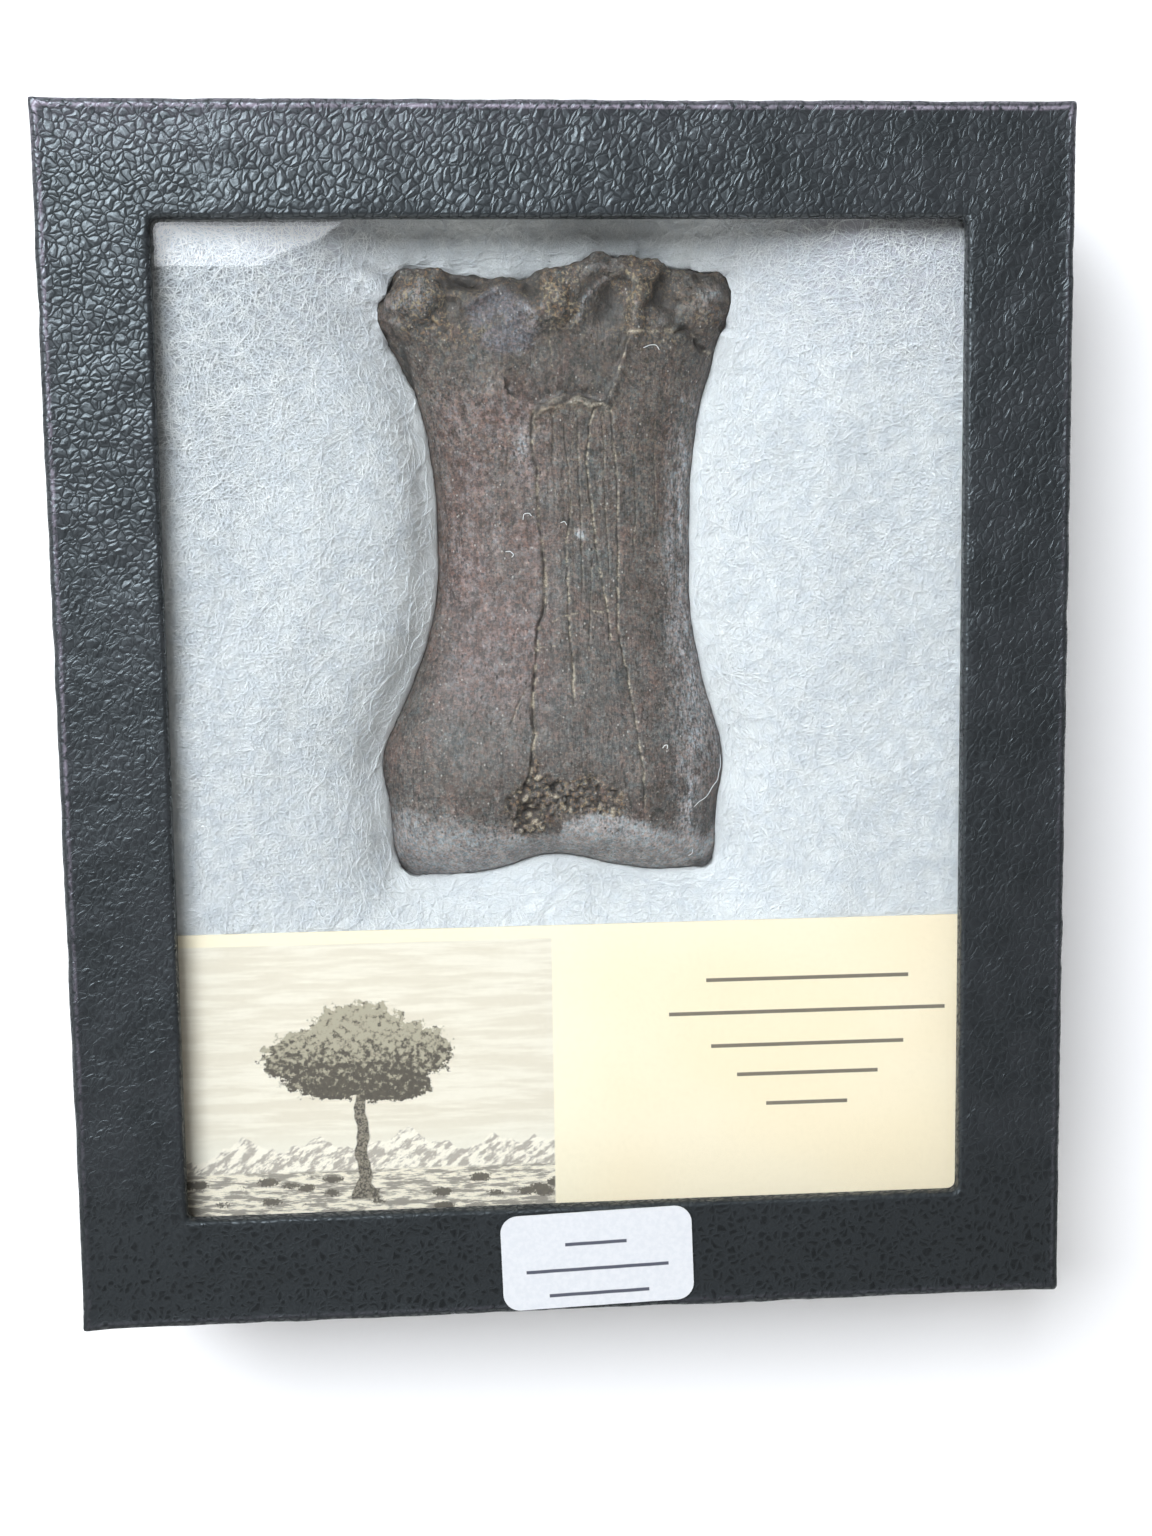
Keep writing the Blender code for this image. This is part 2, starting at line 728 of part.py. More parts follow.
def build_label(group):
    """Make the rounded paper label stuck on the lid's lower border."""
    half_x, half_y = LABEL_WIDTH / 2, LABEL_HEIGHT / 2
    low = CASE_DEPTH + GAP
    shape = block((-half_x, -half_y, low), (half_x, half_y, low + PAPER))
    round_edges(shape, upright_edges(shape), LABEL_CORNER, 6)
    bmesh.ops.rotate(shape, cent=(0, 0, 0), matrix=Matrix.Rotation(LABEL_TURN, 3, "Z"), verts=shape.verts)
    bmesh.ops.translate(shape, vec=(*LABEL_CENTRE, 0.0), verts=shape.verts)
    return add_object("sticker", shape, group, new_material("label_paper", (0.86, 0.88, 0.93), 0.45))


def build_pad(group, cutters, pin_holes):
    """Make the fibre pad with the crater and pocket that hold the bone."""
    side = 2 * WALL + 2 * GAP
    half_x, half_y = CASE_WIDTH / 2 - side, CASE_LENGTH / 2 - side
    shape = block((-half_x, -half_y, PAD_BOTTOM), (half_x, half_y, PAD_TOP))
    round_edges(shape, list(shape.edges), PAD_ROUND, 2)
    pad = add_object("batting", shape, group, new_material("polyester_fibre", (0.74, 0.77, 0.82), 0.9))
    cut(pad, crater_cutter(cutters))
    cut(pad, pocket_cutter(cutters))
    cut(pad, pin_holes)
    return pad


def main():
    """Build the whole case with what it holds."""
    clear_scene()
    group = new_collection(COLLECTION_NAME)
    cutters = new_collection("cutters")
    pin_holes = pin_hole_cutter(cutters)
    build_tray(group, cutters, pin_holes)
    build_lid(group, cutters, pin_holes)
    build_glass(group)
    build_card(group)
    build_label(group)
    build_pad(group, cutters, pin_holes)
    build_bone(group, cutters)
    build_pins(group)


main()
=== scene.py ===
"""The looks of a fossil horse phalanx bedded in fibre in its display case.

The case lies on its back. The origin is the centre of its underside, +X is the
case's right, +Y its top and +Z points out through the glass.
"""
import math

import bmesh
import bpy
import numpy as np
from mathutils import Matrix, Vector
from mathutils.bvhtree import BVHTree
from mathutils.kdtree import KDTree


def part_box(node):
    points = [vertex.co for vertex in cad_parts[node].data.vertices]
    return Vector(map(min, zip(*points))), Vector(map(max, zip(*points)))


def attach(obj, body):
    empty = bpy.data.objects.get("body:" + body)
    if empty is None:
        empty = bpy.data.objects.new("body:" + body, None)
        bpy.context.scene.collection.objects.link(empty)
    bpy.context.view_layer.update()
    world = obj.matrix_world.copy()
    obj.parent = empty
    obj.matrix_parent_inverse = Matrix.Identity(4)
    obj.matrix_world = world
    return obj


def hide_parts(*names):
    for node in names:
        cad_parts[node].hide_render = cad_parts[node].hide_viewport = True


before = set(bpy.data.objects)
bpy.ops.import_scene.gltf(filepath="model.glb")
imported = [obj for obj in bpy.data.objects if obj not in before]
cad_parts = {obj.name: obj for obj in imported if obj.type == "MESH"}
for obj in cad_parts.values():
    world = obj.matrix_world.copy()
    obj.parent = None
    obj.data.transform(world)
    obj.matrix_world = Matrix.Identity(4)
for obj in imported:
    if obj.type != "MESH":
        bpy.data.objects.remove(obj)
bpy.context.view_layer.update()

MM = 0.001

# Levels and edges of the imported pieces, in millimetres
LID_LOW, LID_HIGH = (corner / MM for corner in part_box("lid"))
GLASS_LOW, GLASS_HIGH = (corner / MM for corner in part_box("glass"))
CARD_LOW, CARD_HIGH = (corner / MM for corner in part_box("card"))
PAD_LOW, PAD_HIGH = (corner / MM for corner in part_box("batting"))
STICKER_LOW, STICKER_HIGH = (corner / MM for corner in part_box("sticker"))
CASE_FRONT = LID_HIGH.z

# Camera
CAMERA_PLACE = Vector((-17.04, 22.75, 274.66)) * MM
CAMERA_TARGET = Vector((0.455, -5.168, 38.1)) * MM
CAMERA_ROLL = math.radians(0.76)
CAMERA_LENS = 44.56

# Light: the panel's outline in millimetres, its glow, and the glow of the sky
PANEL_OUTLINE = (
    (-800.0, 199.0), (-121.0, 200.0), (-109.0, 207.0), (-84.0, 216.0), (-70.0, 226.0), (-70.0, 860.0),
    (-800.0, 860.0),
)
PANEL_LEVEL = 1036.0
PANEL_GLOW = 18.0
PANEL_EDGE_GLOW = 0.22
PANEL_TINT = (0.95, 0.985, 1.04)
PANEL_FADE = (150.0, 70.0)
SKY_LOW = 1.08
SKY_HIGH = 0.17
SKY_RIGHT = 0.45
FRONT_GLOW = 0.6
SKY_TINT = (1.0, 0.985, 0.97, 1.0)
FRONT_DIRECTION = Vector((0.10, -0.90, 0.38)).normalized()

# Lid, in millimetres
WALL = 1.5
BOARD = 2.0
WINDOW_HALF = (50.0, 62.3)
WINDOW_CORNER = 1.0
WINDOW_ROLL = 0.55
RIM_CORNER = 0.7
RIM_ROLL = 0.8
FACE_SINK = 0.08
# Knocked corners of the lid: the corner's side and how far it is pushed out
CORNER_DENTS = ((-1, 1, 0.5), (1, 1, 0.25), (-1, -1, 0.45), (1, -1, 0.2))
SHORT_COLUMNS = 100
LONG_COLUMNS = 124
CORNER_STEPS = 6
ROLL_STEPS = 6
FACE_STEPS = 12
SIDE_STEPS = 14

# Fossil, in millimetres
BONE_VOXEL = 0.45
BONE_SMOOTHING = 24
# The broken flake's lower and right edge
SCAR_EDGE = (
    (-7.4, 42.4), (-7.2, 41.4), (-5.5, 40.5), (-3.7, 40.1), (-2.4, 40.3), (-1.2, 40.9), (0.1, 41.8),
    (0.9, 41.4), (2.9, 41.1), (4.6, 40.6), (5.4, 40.9), (6.0, 42.2), (6.6, 43.6), (7.0, 45.3),
    (7.5, 47.4), (8.0, 48.6),
)
# The far edge of the same flake, which is worn smooth
SCAR_FAR_EDGE = ((-7.0, 43.0), (-6.6, 47.0), (-3.6, 50.0), (-1.0, 50.4), (1.6, 49.5), (7.6, 49.4))
# A thin second step under the flake, with tan sediment on it
TAN_STEP = (
    (-3.9, 37.4), (-3.5, 39.0), (-2.9, 39.6), (-1.2, 39.8), (0.0, 40.1), (1.2, 40.7), (2.0, 40.9),
    (3.7, 40.2), (5.9, 40.1),
)
# The ledge to the right of the flake
RIGHT_LEDGE = (
    (7.8, 48.8), (8.4, 49.2), (10.6, 49.5), (13.0, 49.4), (15.7, 49.6), (17.1, 48.5), (17.9, 47.7),
    (19.2, 46.7),
)
# Cracks down the dorsal face: path, depth, half-width and sediment
MAIN_CRACK = (
    (-3.8, 39.4), (-3.9, 38.5), (-4.1, 36.6), (-3.9, 34.1), (-3.5, 32.5), (-3.4, 29.6), (-3.2, 25.5),
    (-2.9, 22.7), (-2.5, 17.6), (-2.8, 13.7), (-3.4, 12.9), (-3.7, 10.2), (-4.1, 6.0), (-4.4, 2.8),
    (-4.3, -1.5), (-4.7, -5.4), (-5.4, -8.1),
)
RIGHT_CRACK = (
    (6.1, 39.6), (6.3, 36.8), (6.7, 31.8), (7.0, 25.1), (6.9, 18.1), (6.8, 11.5), (7.6, 7.7), (8.3, 4.1),
    (9.2, -1.8), (9.9, -7.0), (9.9, -11.5),
)
MIDDLE_CRACK = (
    (4.0, 39.8), (3.2, 37.8), (2.9, 33.4), (3.6, 27.1), (4.0, 22.6), (4.6, 19.1), (5.4, 14.9),
    (5.8, 10.5),
)
CRACKS = (
    (MAIN_CRACK, 0.38, 0.22, 1.0),
    (((-4.4, 4.7), (-5.2, 4.3), (-5.9, 3.2), (-6.6, 1.6), (-7.4, -0.3)), 0.15, 0.12, 0.6),
    (((0.1, 38.0), (0.3, 35.0), (0.9, 29.0), (0.7, 26.0)), 0.12, 0.12, 0.35),
    (((0.7, 26.0), (0.2, 23.0), (0.4, 17.5), (0.4, 13.4), (0.9, 8.0), (0.9, 2.0)), 0.18, 0.15, 1.0),
    (MIDDLE_CRACK, 0.2, 0.15, 1.0),
    (((3.6, 20.7), (3.2, 14.3), (3.1, 9.1)), 0.10, 0.11, 0.6),
    (RIGHT_CRACK, 0.18, 0.15, 1.0),
    (((-1.7, 12.9), (0.3, 13.7), (1.9, 14.0), (3.5, 14.2), (5.3, 13.9)), 0.02, 0.10, 0.9),
    (((-4.0, 9.6), (-2.0, 9.7), (-0.4, 10.0)), 0.03, 0.10, 0.7),
    (((-1.2, 38.8), (-1.4, 33.0), (-1.1, 29.0)), 0.12, 0.13, 0.3),
    (((1.8, 39.5), (1.9, 31.0), (2.2, 25.0), (2.3, 17.0)), 0.10, 0.12, 0.4),
    (((5.0, 39.0), (5.2, 31.0), (5.4, 26.0), (5.8, 19.0)), 0.10, 0.12, 0.4),
    (((9.0, 37.0), (9.3, 29.0), (9.1, 21.0)), 0.08, 0.12, 0.35),
    (((11.8, 38.0), (12.0, 30.0), (11.9, 24.0)), 0.06, 0.12, 0.3),
    (((-7.0, 37.0), (-7.2, 30.0), (-6.9, 25.0)), 0.08, 0.12, 0.2),
    (((-1.7, 50.3), (-1.6, 47.5), (-1.5, 45.4), (-0.8, 43.2)), 0.06, 0.14, 0.55),
    (((-16.3, 50.9), (-15.7, 48.8), (-14.8, 46.2), (-14.3, 44.4)), 0.06, 0.16, 0.35),
)
# Grooves near the two outlines, painted dark as shade: path, half-width and depth
RIM_GROOVES = (
    (((-21.3, 50.5), (-20.0, 46.5), (-19.0, 42.5), (-17.9, 38.0), (-17.2, 33.0), (-16.6, 28.0)), 0.30, 0.30),
    (((20.6, 47.0), (19.2, 42.5), (18.0, 38.0), (17.4, 32.0), (17.2, 24.0)), 0.30, 0.15),
)
# Mounds and hollows of the upper end: centre, half sizes and height
UPPER_RELIEF = (
    (-18.4, 53.4, 3.2, 2.6, 0.95), (-22.6, 55.6, 1.8, 1.4, -0.9), (-14.3, 53.0, 1.1, 3.0, -0.55),
    (-12.2, 55.6, 2.4, 1.2, -1.3), (-4.3, 54.6, 1.8, 1.4, -0.7), (-0.9, 53.2, 1.6, 2.6, 0.6),
    (-1.0, 49.0, 3.0, 1.8, -0.3), (5.2, 52.2, 2.8, 3.0, -0.55), (9.1, 52.6, 0.9, 3.2, 0.7),
    (5.0, 57.2, 4.2, 1.0, 0.5), (11.0, 56.2, 2.2, 1.6, 0.3), (13.3, 53.6, 1.8, 3.0, -0.55),
    (18.0, 53.6, 3.0, 2.0, 0.9), (-16.2, 51.7, 0.6, 0.6, -0.6),
)
LEFT_FACET = ((-10.5, 51.6), (-8.3, 52.9), (-5.6, 51.8), (-5.4, 48.5), (-8.0, 48.5))
LEFT_FACET_RIM = (
    (-12.6, 51.9), (-10.2, 53.5), (-8.3, 54.3), (-6.5, 53.4), (-4.2, 52.1), (-3.4, 50.6), (-3.7, 49.6),
)
RIGHT_FACET_EDGE = ((1.5, 50.4), (2.1, 51.5), (3.3, 53.6), (4.1, 54.5), (5.4, 55.5))
# Where a painted shadow lies under the right lump's rim
UNDER_RIM = ((17.0, 56.4), (19.3, 56.0), (21.9, 55.2))
# Tan spots of the upper end: centre, half sizes and strength
TAN_SPOTS = (
    (-14.6, 51.2, 1.4, 1.6, 0.6), (-17.5, 54.2, 3.2, 2.2, 0.55), (11.4, 55.6, 2.4, 2.2, 0.6),
    (17.5, 53.8, 3.2, 2.0, 0.5), (-5.0, 54.6, 2.0, 1.4, 0.4),
)
# Painted shade in the hollows: centre, half sizes, steepness and strength
DARK_HOLLOWS = (
    (-12.3, 55.8, 2.6, 1.3, 2, 0.95), (-22.6, 55.4, 2.0, 1.8, 1, 0.8), (5.4, 52.0, 2.6, 2.6, 1, 0.45),
    (5.0, 3.0, 1.6, 1.8, 1, 0.3),
)
# The worn pale streak of the right flank
FLANK_STREAK = (
    (16.2, 40.0), (15.6, 31.5), (15.2, 22.0), (14.9, 14.6), (15.6, 9.7), (16.8, 4.1), (17.7, 1.0),
    (17.3, -3.0), (16.2, -6.5), (15.7, -10.0), (16.1, -14.0),
)
# The edge where the lower joint surface starts
JOINT_EDGE = (
    (-25.0, -11.0), (-14.0, -12.6), (-8.5, -14.4), (-5.0, -15.2), (-1.2, -15.2), (-0.5, -13.2),
    (1.0, -12.2), (4.6, -12.4), (7.2, -12.6), (9.6, -13.3), (11.2, -14.4), (14.0, -14.7), (16.0, -14.6),
    (18.6, -16.0), (20.0, -14.8), (22.0, -14.0),
)
# The spongy patch above the joint, as joined round areas: centre and half sizes
SPONGE = (
    (-4.6, -11.4, 3.8, 4.0), (-2.2, -9.6, 4.0, 3.0), (2.4, -9.8, 4.6, 3.0), (5.0, -11.2, 2.8, 1.8),
    (-4.6, -6.6, 0.8, 2.0),
)
GRAIN_SIZES = (1.0, 0.62)

# Fibre pad, in millimetres
PAD_VOXEL = 0.8
# Level of the pad's surface at a distance from the fossil's outline
PAD_PROFILE = ((0.0, 23.5), (1.0, 25.4), (2.0, 26.9), (3.5, 28.5), (6.0, 30.2), (9.0, 31.4), (15.0, 32.6))
PAD_HUG_LEVEL = 16.0
PAD_NEIGHBOURS = 8
PAD_RISE = 2.8
PAD_TOP_LEVEL = 26.0
PAD_CLEARANCE = 0.06
PAD_OVERLAP = 0.8
PAD_TOP_OVERLAP = 2.5
FIBRE_PIECES = 6
FIBRES_EACH = 1800
FIBRE_POINTS = 16
FIBRE_STEP = 0.6
FIBRE_RADIUS = 0.036
FIBRE_FIELD = ((-52.0, -27.5), (52.0, 63.0))
GRID_STEP = 0.5
# Where the rays that read the levels start, in metres
RAY_START = 60.0 * MM

# Print on the card, in millimetres
PICTURE_RIGHT = -2.7
PICTURE_TOP = -27.6
CARD_RULES = (
    (30.7, -33.8, 26.7), (30.7, -38.2, 36.5), (30.7, -42.6, 25.5), (30.7, -46.5, 18.7),
    (30.6, -50.5, 10.8),
)
CARD_RULE_WIDTH = 0.5
STICKER_RULES = ((2.2, -67.0, 8.0), (2.4, -70.4, 18.5), (2.6, -73.7, 13.0))
STICKER_RULE_WIDTH = 0.45
INK_BLUR = 0.05
PICTURE_BLUR = 0.1
STICKER_TURN = math.radians(1.7)
STICKER_SIZE = (24.8, 12.6)
STICKER_CORNER = 2.2
STICKER_THICKNESS = 0.16
STICKER_GAP = 0.12

# The printed tree: centre and half sizes of its clumps of leaves
TREE_CLUMPS = (
    (-28.0, -39.5, 6.5, 4.2), (-34.5, -42.5, 5.5, 3.6), (-21.5, -42.0, 5.6, 3.8),
    (-30.5, -45.0, 7.0, 3.0), (-24.0, -46.0, 5.5, 2.6),
)
TREE_TRUNK = (-27.6, -61.5, -45.0, 1.0)
PLAIN_LEVEL = -57.5

# Stray hairs on the fossil, in millimetres
LINT_RADIUS = 0.05
LINT_LIFT = 0.08
LINT_POINTS = 24
LONG_HAIR = (
    (20.6, -5.2), (20.8, -7.1), (20.3, -7.4), (20.4, -8.8), (19.4, -9.1), (18.7, -10.8), (17.5, -11.0),
    (16.7, -11.9),
)
LINT = (
    ((10.1, 47.2), (11.0, 47.6), (11.8, 47.6), (12.2, 47.0)),
    ((-5.3, 25.9), (-5.2, 26.7), (-4.5, 26.8), (-4.2, 26.4)),
    ((-7.6, 21.9), (-7.0, 22.0), (-6.5, 21.5), (-6.8, 21.2)),
    ((-0.5, 25.5), (0.0, 25.7), (0.3, 25.2)),
    ((12.4, -3.8), (12.7, -3.4), (13.1, -3.4), (13.0, -3.9)),
    LONG_HAIR,
    ((16.8, -17.8), (16.8, -18.5), (16.3, -18.8)),
)


def smooth_step(start, end, value):
    """Rise from 0 at start to 1 at end with level ends."""
    t = np.clip((value - start) / (end - start), 0.0, 1.0)
    return t * t * (3 - 2 * t)


def bell(distance):
    """Fall smoothly from 1 as the scaled distance grows."""
    return np.exp(-distance * distance)


def patch(x, y, centre_x, centre_y, half_x, half_y, steepness=1):
    """Fall smoothly from 1 at the middle of an oval area."""
    return bell(np.hypot((x - centre_x) / half_x, (y - centre_y) / half_y) ** steepness)


def scatter(cells, seed):
    """Give each whole-numbered cell its own fixed value from -1 to 1."""
    mixed = cells[:, 0] * 374761393 + cells[:, 1] * 668265263 + cells[:, 2] * 1440662683 + seed * 974711
    mixed = (mixed ^ (mixed >> 13)) * 1274126177
    mixed = mixed ^ (mixed >> 16)
    return (mixed & 0xFFFF) / 32767.5 - 1


def lumps(places, size, seed):
    """Give smooth random values from -1 to 1 with lumps of one size."""
    cells = places / np.asarray(size, float)
    base = np.floor(cells).astype(np.int64)
    part = cells - base
    part = part * part * (3 - 2 * part)
    total = np.zeros(len(places))
    for corner in np.ndindex(2, 2, 2):
        weight = np.prod(np.where(corner, part, 1 - part), axis=1)
        total += weight * scatter(base + np.array(corner), seed)
    return total


def nearest_seed(places, size, seed):
    """Give the distance to the nearest of evenly scattered points, in cells."""
    cells = places / size
    base = np.floor(cells).astype(np.int64)
    nearest = np.full(len(places), 9.0)
    for step in np.ndindex(3, 3):
        cell = base.copy()
        cell[:, :2] += np.array(step) - 1
        cell[:, 2] = 0
        seed_x = cell[:, 0] + 0.5 + 0.42 * scatter(cell, seed)
        seed_y = cell[:, 1] + 0.5 + 0.42 * scatter(cell, seed + 7)
        nearest = np.minimum(nearest, np.hypot(cells[:, 0] - seed_x, cells[:, 1] - seed_y))
    return nearest


def line_distance(x, y, line):
    """Give each point's distance to a line through several places."""
    nearest = np.full(len(x), np.inf)
    for (x0, y0), (x1, y1) in zip(line, line[1:]):
        run_x, run_y = x1 - x0, y1 - y0
        t = np.clip(((x - x0) * run_x + (y - y0) * run_y) / (run_x**2 + run_y**2), 0.0, 1.0)
        nearest = np.minimum(nearest, np.hypot(x - x0 - t * run_x, y - y0 - t * run_y))
    return nearest


def curve_height(x, line):
    """Read a line of (x, y) places at each x."""
    return np.interp(x, [place[0] for place in line], [place[1] for place in line])


def read_places(mesh):
    """Read a mesh's vertices as an array in millimetres."""
    places = np.empty(len(mesh.vertices) * 3)
    mesh.vertices.foreach_get("co", places)
    return places.reshape(-1, 3) / MM


def write_places(mesh, places):
    """Put an array in millimetres back in a mesh's vertices."""
    mesh.vertices.foreach_set("co", (places * MM).ravel())
    mesh.update()


def read_normals(mesh):
    """Read a mesh's vertex normals as an array."""
    normals = np.empty(len(mesh.vertices) * 3)
    mesh.vertex_normals.foreach_get("vector", normals)
    return normals.reshape(-1, 3)


def write_colour(mesh, name, channels):
    """Keep up to four values for each vertex, for the material to read."""
    values = np.ones((len(mesh.vertices), 4))
    for index, channel in enumerate(channels):
        values[:, index] = channel
    layer = mesh.attributes.new(name, "FLOAT_COLOR", "POINT")
    layer.data.foreach_set("color", values.astype(np.float32).ravel())


def place_object(name, data):
    """Put new data in the scene as an object."""
    item = bpy.data.objects.new(name, data)
    bpy.context.scene.collection.objects.link(item)
    return item


def shape_from(mesh):
    """Turn a mesh into a bmesh."""
    shape = bmesh.new()
    shape.from_mesh(mesh)
    return shape


def merged_copy(node):
    """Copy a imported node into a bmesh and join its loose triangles."""
    shape = shape_from(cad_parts[node].data)
    bmesh.ops.remove_doubles(shape, verts=shape.verts, dist=0.001 * MM)
    return shape


def voxel_mesh(name, shape, voxel):
    """Rebuild a closed shape out of small even squares."""
    rough = bpy.data.meshes.new(name + "_rough")
    shape.to_mesh(rough)
    shape.free()
    helper = place_object(name + "_rough", rough)
    step = helper.modifiers.new("even", "REMESH")
    step.mode = "VOXEL"
    step.voxel_size = voxel * MM
    step.adaptivity = 0.0
    finished = helper.evaluated_get(bpy.context.evaluated_depsgraph_get())
    even = bpy.data.meshes.new_from_object(finished)
    bpy.data.objects.remove(helper)
    even.name = name
    return even


def relax(mesh, share, rounds):
    """Draw each vertex towards its neighbours by its own share."""
    places = read_places(mesh)
    count = len(places)
    ends = np.empty(2 * len(mesh.edges), np.int64)
    mesh.edges.foreach_get("vertices", ends)
    first, second = ends.reshape(-1, 2).T
    joined = np.bincount(ends, minlength=count)[:, None]
    total = np.empty_like(places)
    for _ in range(rounds):
        for axis in range(3):
            total[:, axis] = np.bincount(first, places[second, axis], count)
            total[:, axis] += np.bincount(second, places[first, axis], count)
        places += (total / joined - places) * share[:, None]
    write_places(mesh, places)


def add_piece(name, mesh, recipe, replaced=()):
    """Put a finished mesh in the scene as a piece of the case."""
    piece = place_object(name, mesh)
    mesh.materials.clear()
    mesh.materials.append(recipe.owner)
    mesh.shade_smooth()
    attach(piece, "root")
    if replaced:
        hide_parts(*replaced)
    return piece


def mesh_from(name, shape):
    """Turn a bmesh into a mesh."""
    mesh = bpy.data.meshes.new(name)
    shape.to_mesh(mesh)
    shape.free()
    return mesh


class Recipe:
    """A material or sky whose nodes are added by short calls that return sockets."""

    def __init__(self, name, kind="materials", shader="Principled BSDF"):
        self.owner = getattr(bpy.data, kind).new(name)
        self.owner.use_nodes = True
        self.nodes = self.owner.node_tree.nodes
        self.links = self.owner.node_tree.links
        self.shader = self.nodes[shader]

    def give(self, socket, value):
        """Link a socket to another, or set its value."""
        if isinstance(value, bpy.types.NodeSocket):
            self.links.new(value, socket)
        elif isinstance(value, (tuple, Vector)) and socket.type == "RGBA":
            socket.default_value = (*value[:3], 1.0)
        else:
            socket.default_value = value

    def add(self, kind, inputs, **settings):
        """Add a node with its settings and inputs."""
        node = self.nodes.new(kind)
        for name, value in settings.items():
            setattr(node, name, value)
        for name, value in inputs.items():
            self.give(node.inputs[name], value)
        return node

    def places(self):
        """Give the object's own coordinates in millimetres."""
        source = self.add("ShaderNodeTexCoord", {}).outputs["Object"]
        return self.scale(source, 1 / MM)

    def attribute(self, name, output="Color"):
        """Read a value kept on the vertices."""
        return self.add("ShaderNodeAttribute", {}, attribute_name=name).outputs[output]

    def channels(self, name):
        """Split a colour kept on the vertices into its three values."""
        return self.add("ShaderNodeSeparateColor", {0: self.attribute(name)}).outputs

    def parts(self, vector):
        """Split a vector into its three values."""
        return self.add("ShaderNodeSeparateXYZ", {0: vector}).outputs

    def mapped(self, vector, size, turn=0.0, shift=(0.0, 0.0, 0.0)):
        """Turn a pattern about Z and stretch it to a size for each axis."""
        inputs = {"Vector": vector, "Rotation": (0.0, 0.0, -turn), "Location": shift}
        turned = self.add("ShaderNodeMapping", inputs).outputs[0]
        scale = tuple(1 / side for side in size)
        return self.add("ShaderNodeMapping", {"Vector": turned, "Scale": scale}).outputs[0]

    def noise(self, vector, size, detail=2.0, roughness=0.5, distortion=0.0, space="3D"):
        """Add cloudy noise with features of a given size."""
        inputs = {
            "Vector": vector,
            "Scale": 1 / size,
            "Detail": detail,
            "Roughness": roughness,
            "Distortion": distortion,
        }
        return self.add("ShaderNodeTexNoise", inputs, noise_dimensions=space).outputs[0]

    def cells(self, vector, size, feature="DISTANCE_TO_EDGE", output="Distance", space="3D"):
        """Add a pattern of cells of a given size."""
        inputs = {"Vector": vector, "Scale": 1 / size}
        node = self.add("ShaderNodeTexVoronoi", inputs, feature=feature, voronoi_dimensions=space)
        return node.outputs[output]

    def calc(self, operation, first, second=0.0, third=0.0, clamp=False):
        """Work out one value from two or three."""
        inputs = {0: first, 1: second, 2: third}
        return self.add("ShaderNodeMath", inputs, operation=operation, use_clamp=clamp).outputs[0]

    def plus(self, first, second):
        """Add two values."""
        return self.calc("ADD", first, second)

    def minus(self, first, second):
        """Take one value from another."""
        return self.calc("SUBTRACT", first, second)

    def times(self, first, second):
        """Multiply two values."""
        return self.calc("MULTIPLY", first, second)

    def vector(self, operation, first, second):
        """Work out one vector from two."""
        return self.add("ShaderNodeVectorMath", {0: first, 1: second}, operation=operation).outputs[0]

    def rise(self, value, start, end, low=0.0, high=1.0):
        """Rise smoothly from low to high as a value goes from start to end."""
        inputs = {"Value": value, "From Min": start, "From Max": end, "To Min": low, "To Max": high}
        return self.add("ShaderNodeMapRange", inputs, interpolation_type="SMOOTHSTEP").outputs[0]

    def scale(self, colour, share):
        """Make a colour brighter or darker by a share."""
        inputs = {0: colour, "Scale": share}
        return self.add("ShaderNodeVectorMath", inputs, operation="SCALE").outputs[0]

    def blend(self, factor, first, second, mode="MIX"):
        """Mix two colours."""
        node = self.add("ShaderNodeMix", {}, data_type="RGBA", blend_type=mode)
        self.give(node.inputs[0], factor)
        self.give(node.inputs[6], first)
        self.give(node.inputs[7], second)
        return node.outputs[2]

    def ramp(self, value, start, end, first, second):
        """Go from one colour to another as a value rises."""
        return self.blend(self.rise(value, start, end), first, second)

    def layers(self, colour, *tints):
        """Lay tints over a colour, each where its own mask is."""
        for mask, tint in tints:
            colour = self.blend(mask, colour, tint)
        return colour

    def bump(self, height, depth):
        """Turn a height from 0 to 1 into a bump of a depth in millimetres."""
        return self.add("ShaderNodeBump", {"Height": height, "Distance": depth * MM}).outputs[0]

    def finish(self, **sockets):
        """Give the Principled shader's sockets their values."""
        for name, value in sockets.items():
            self.give(self.shader.inputs[name.replace("_", " ")], value)
        return self


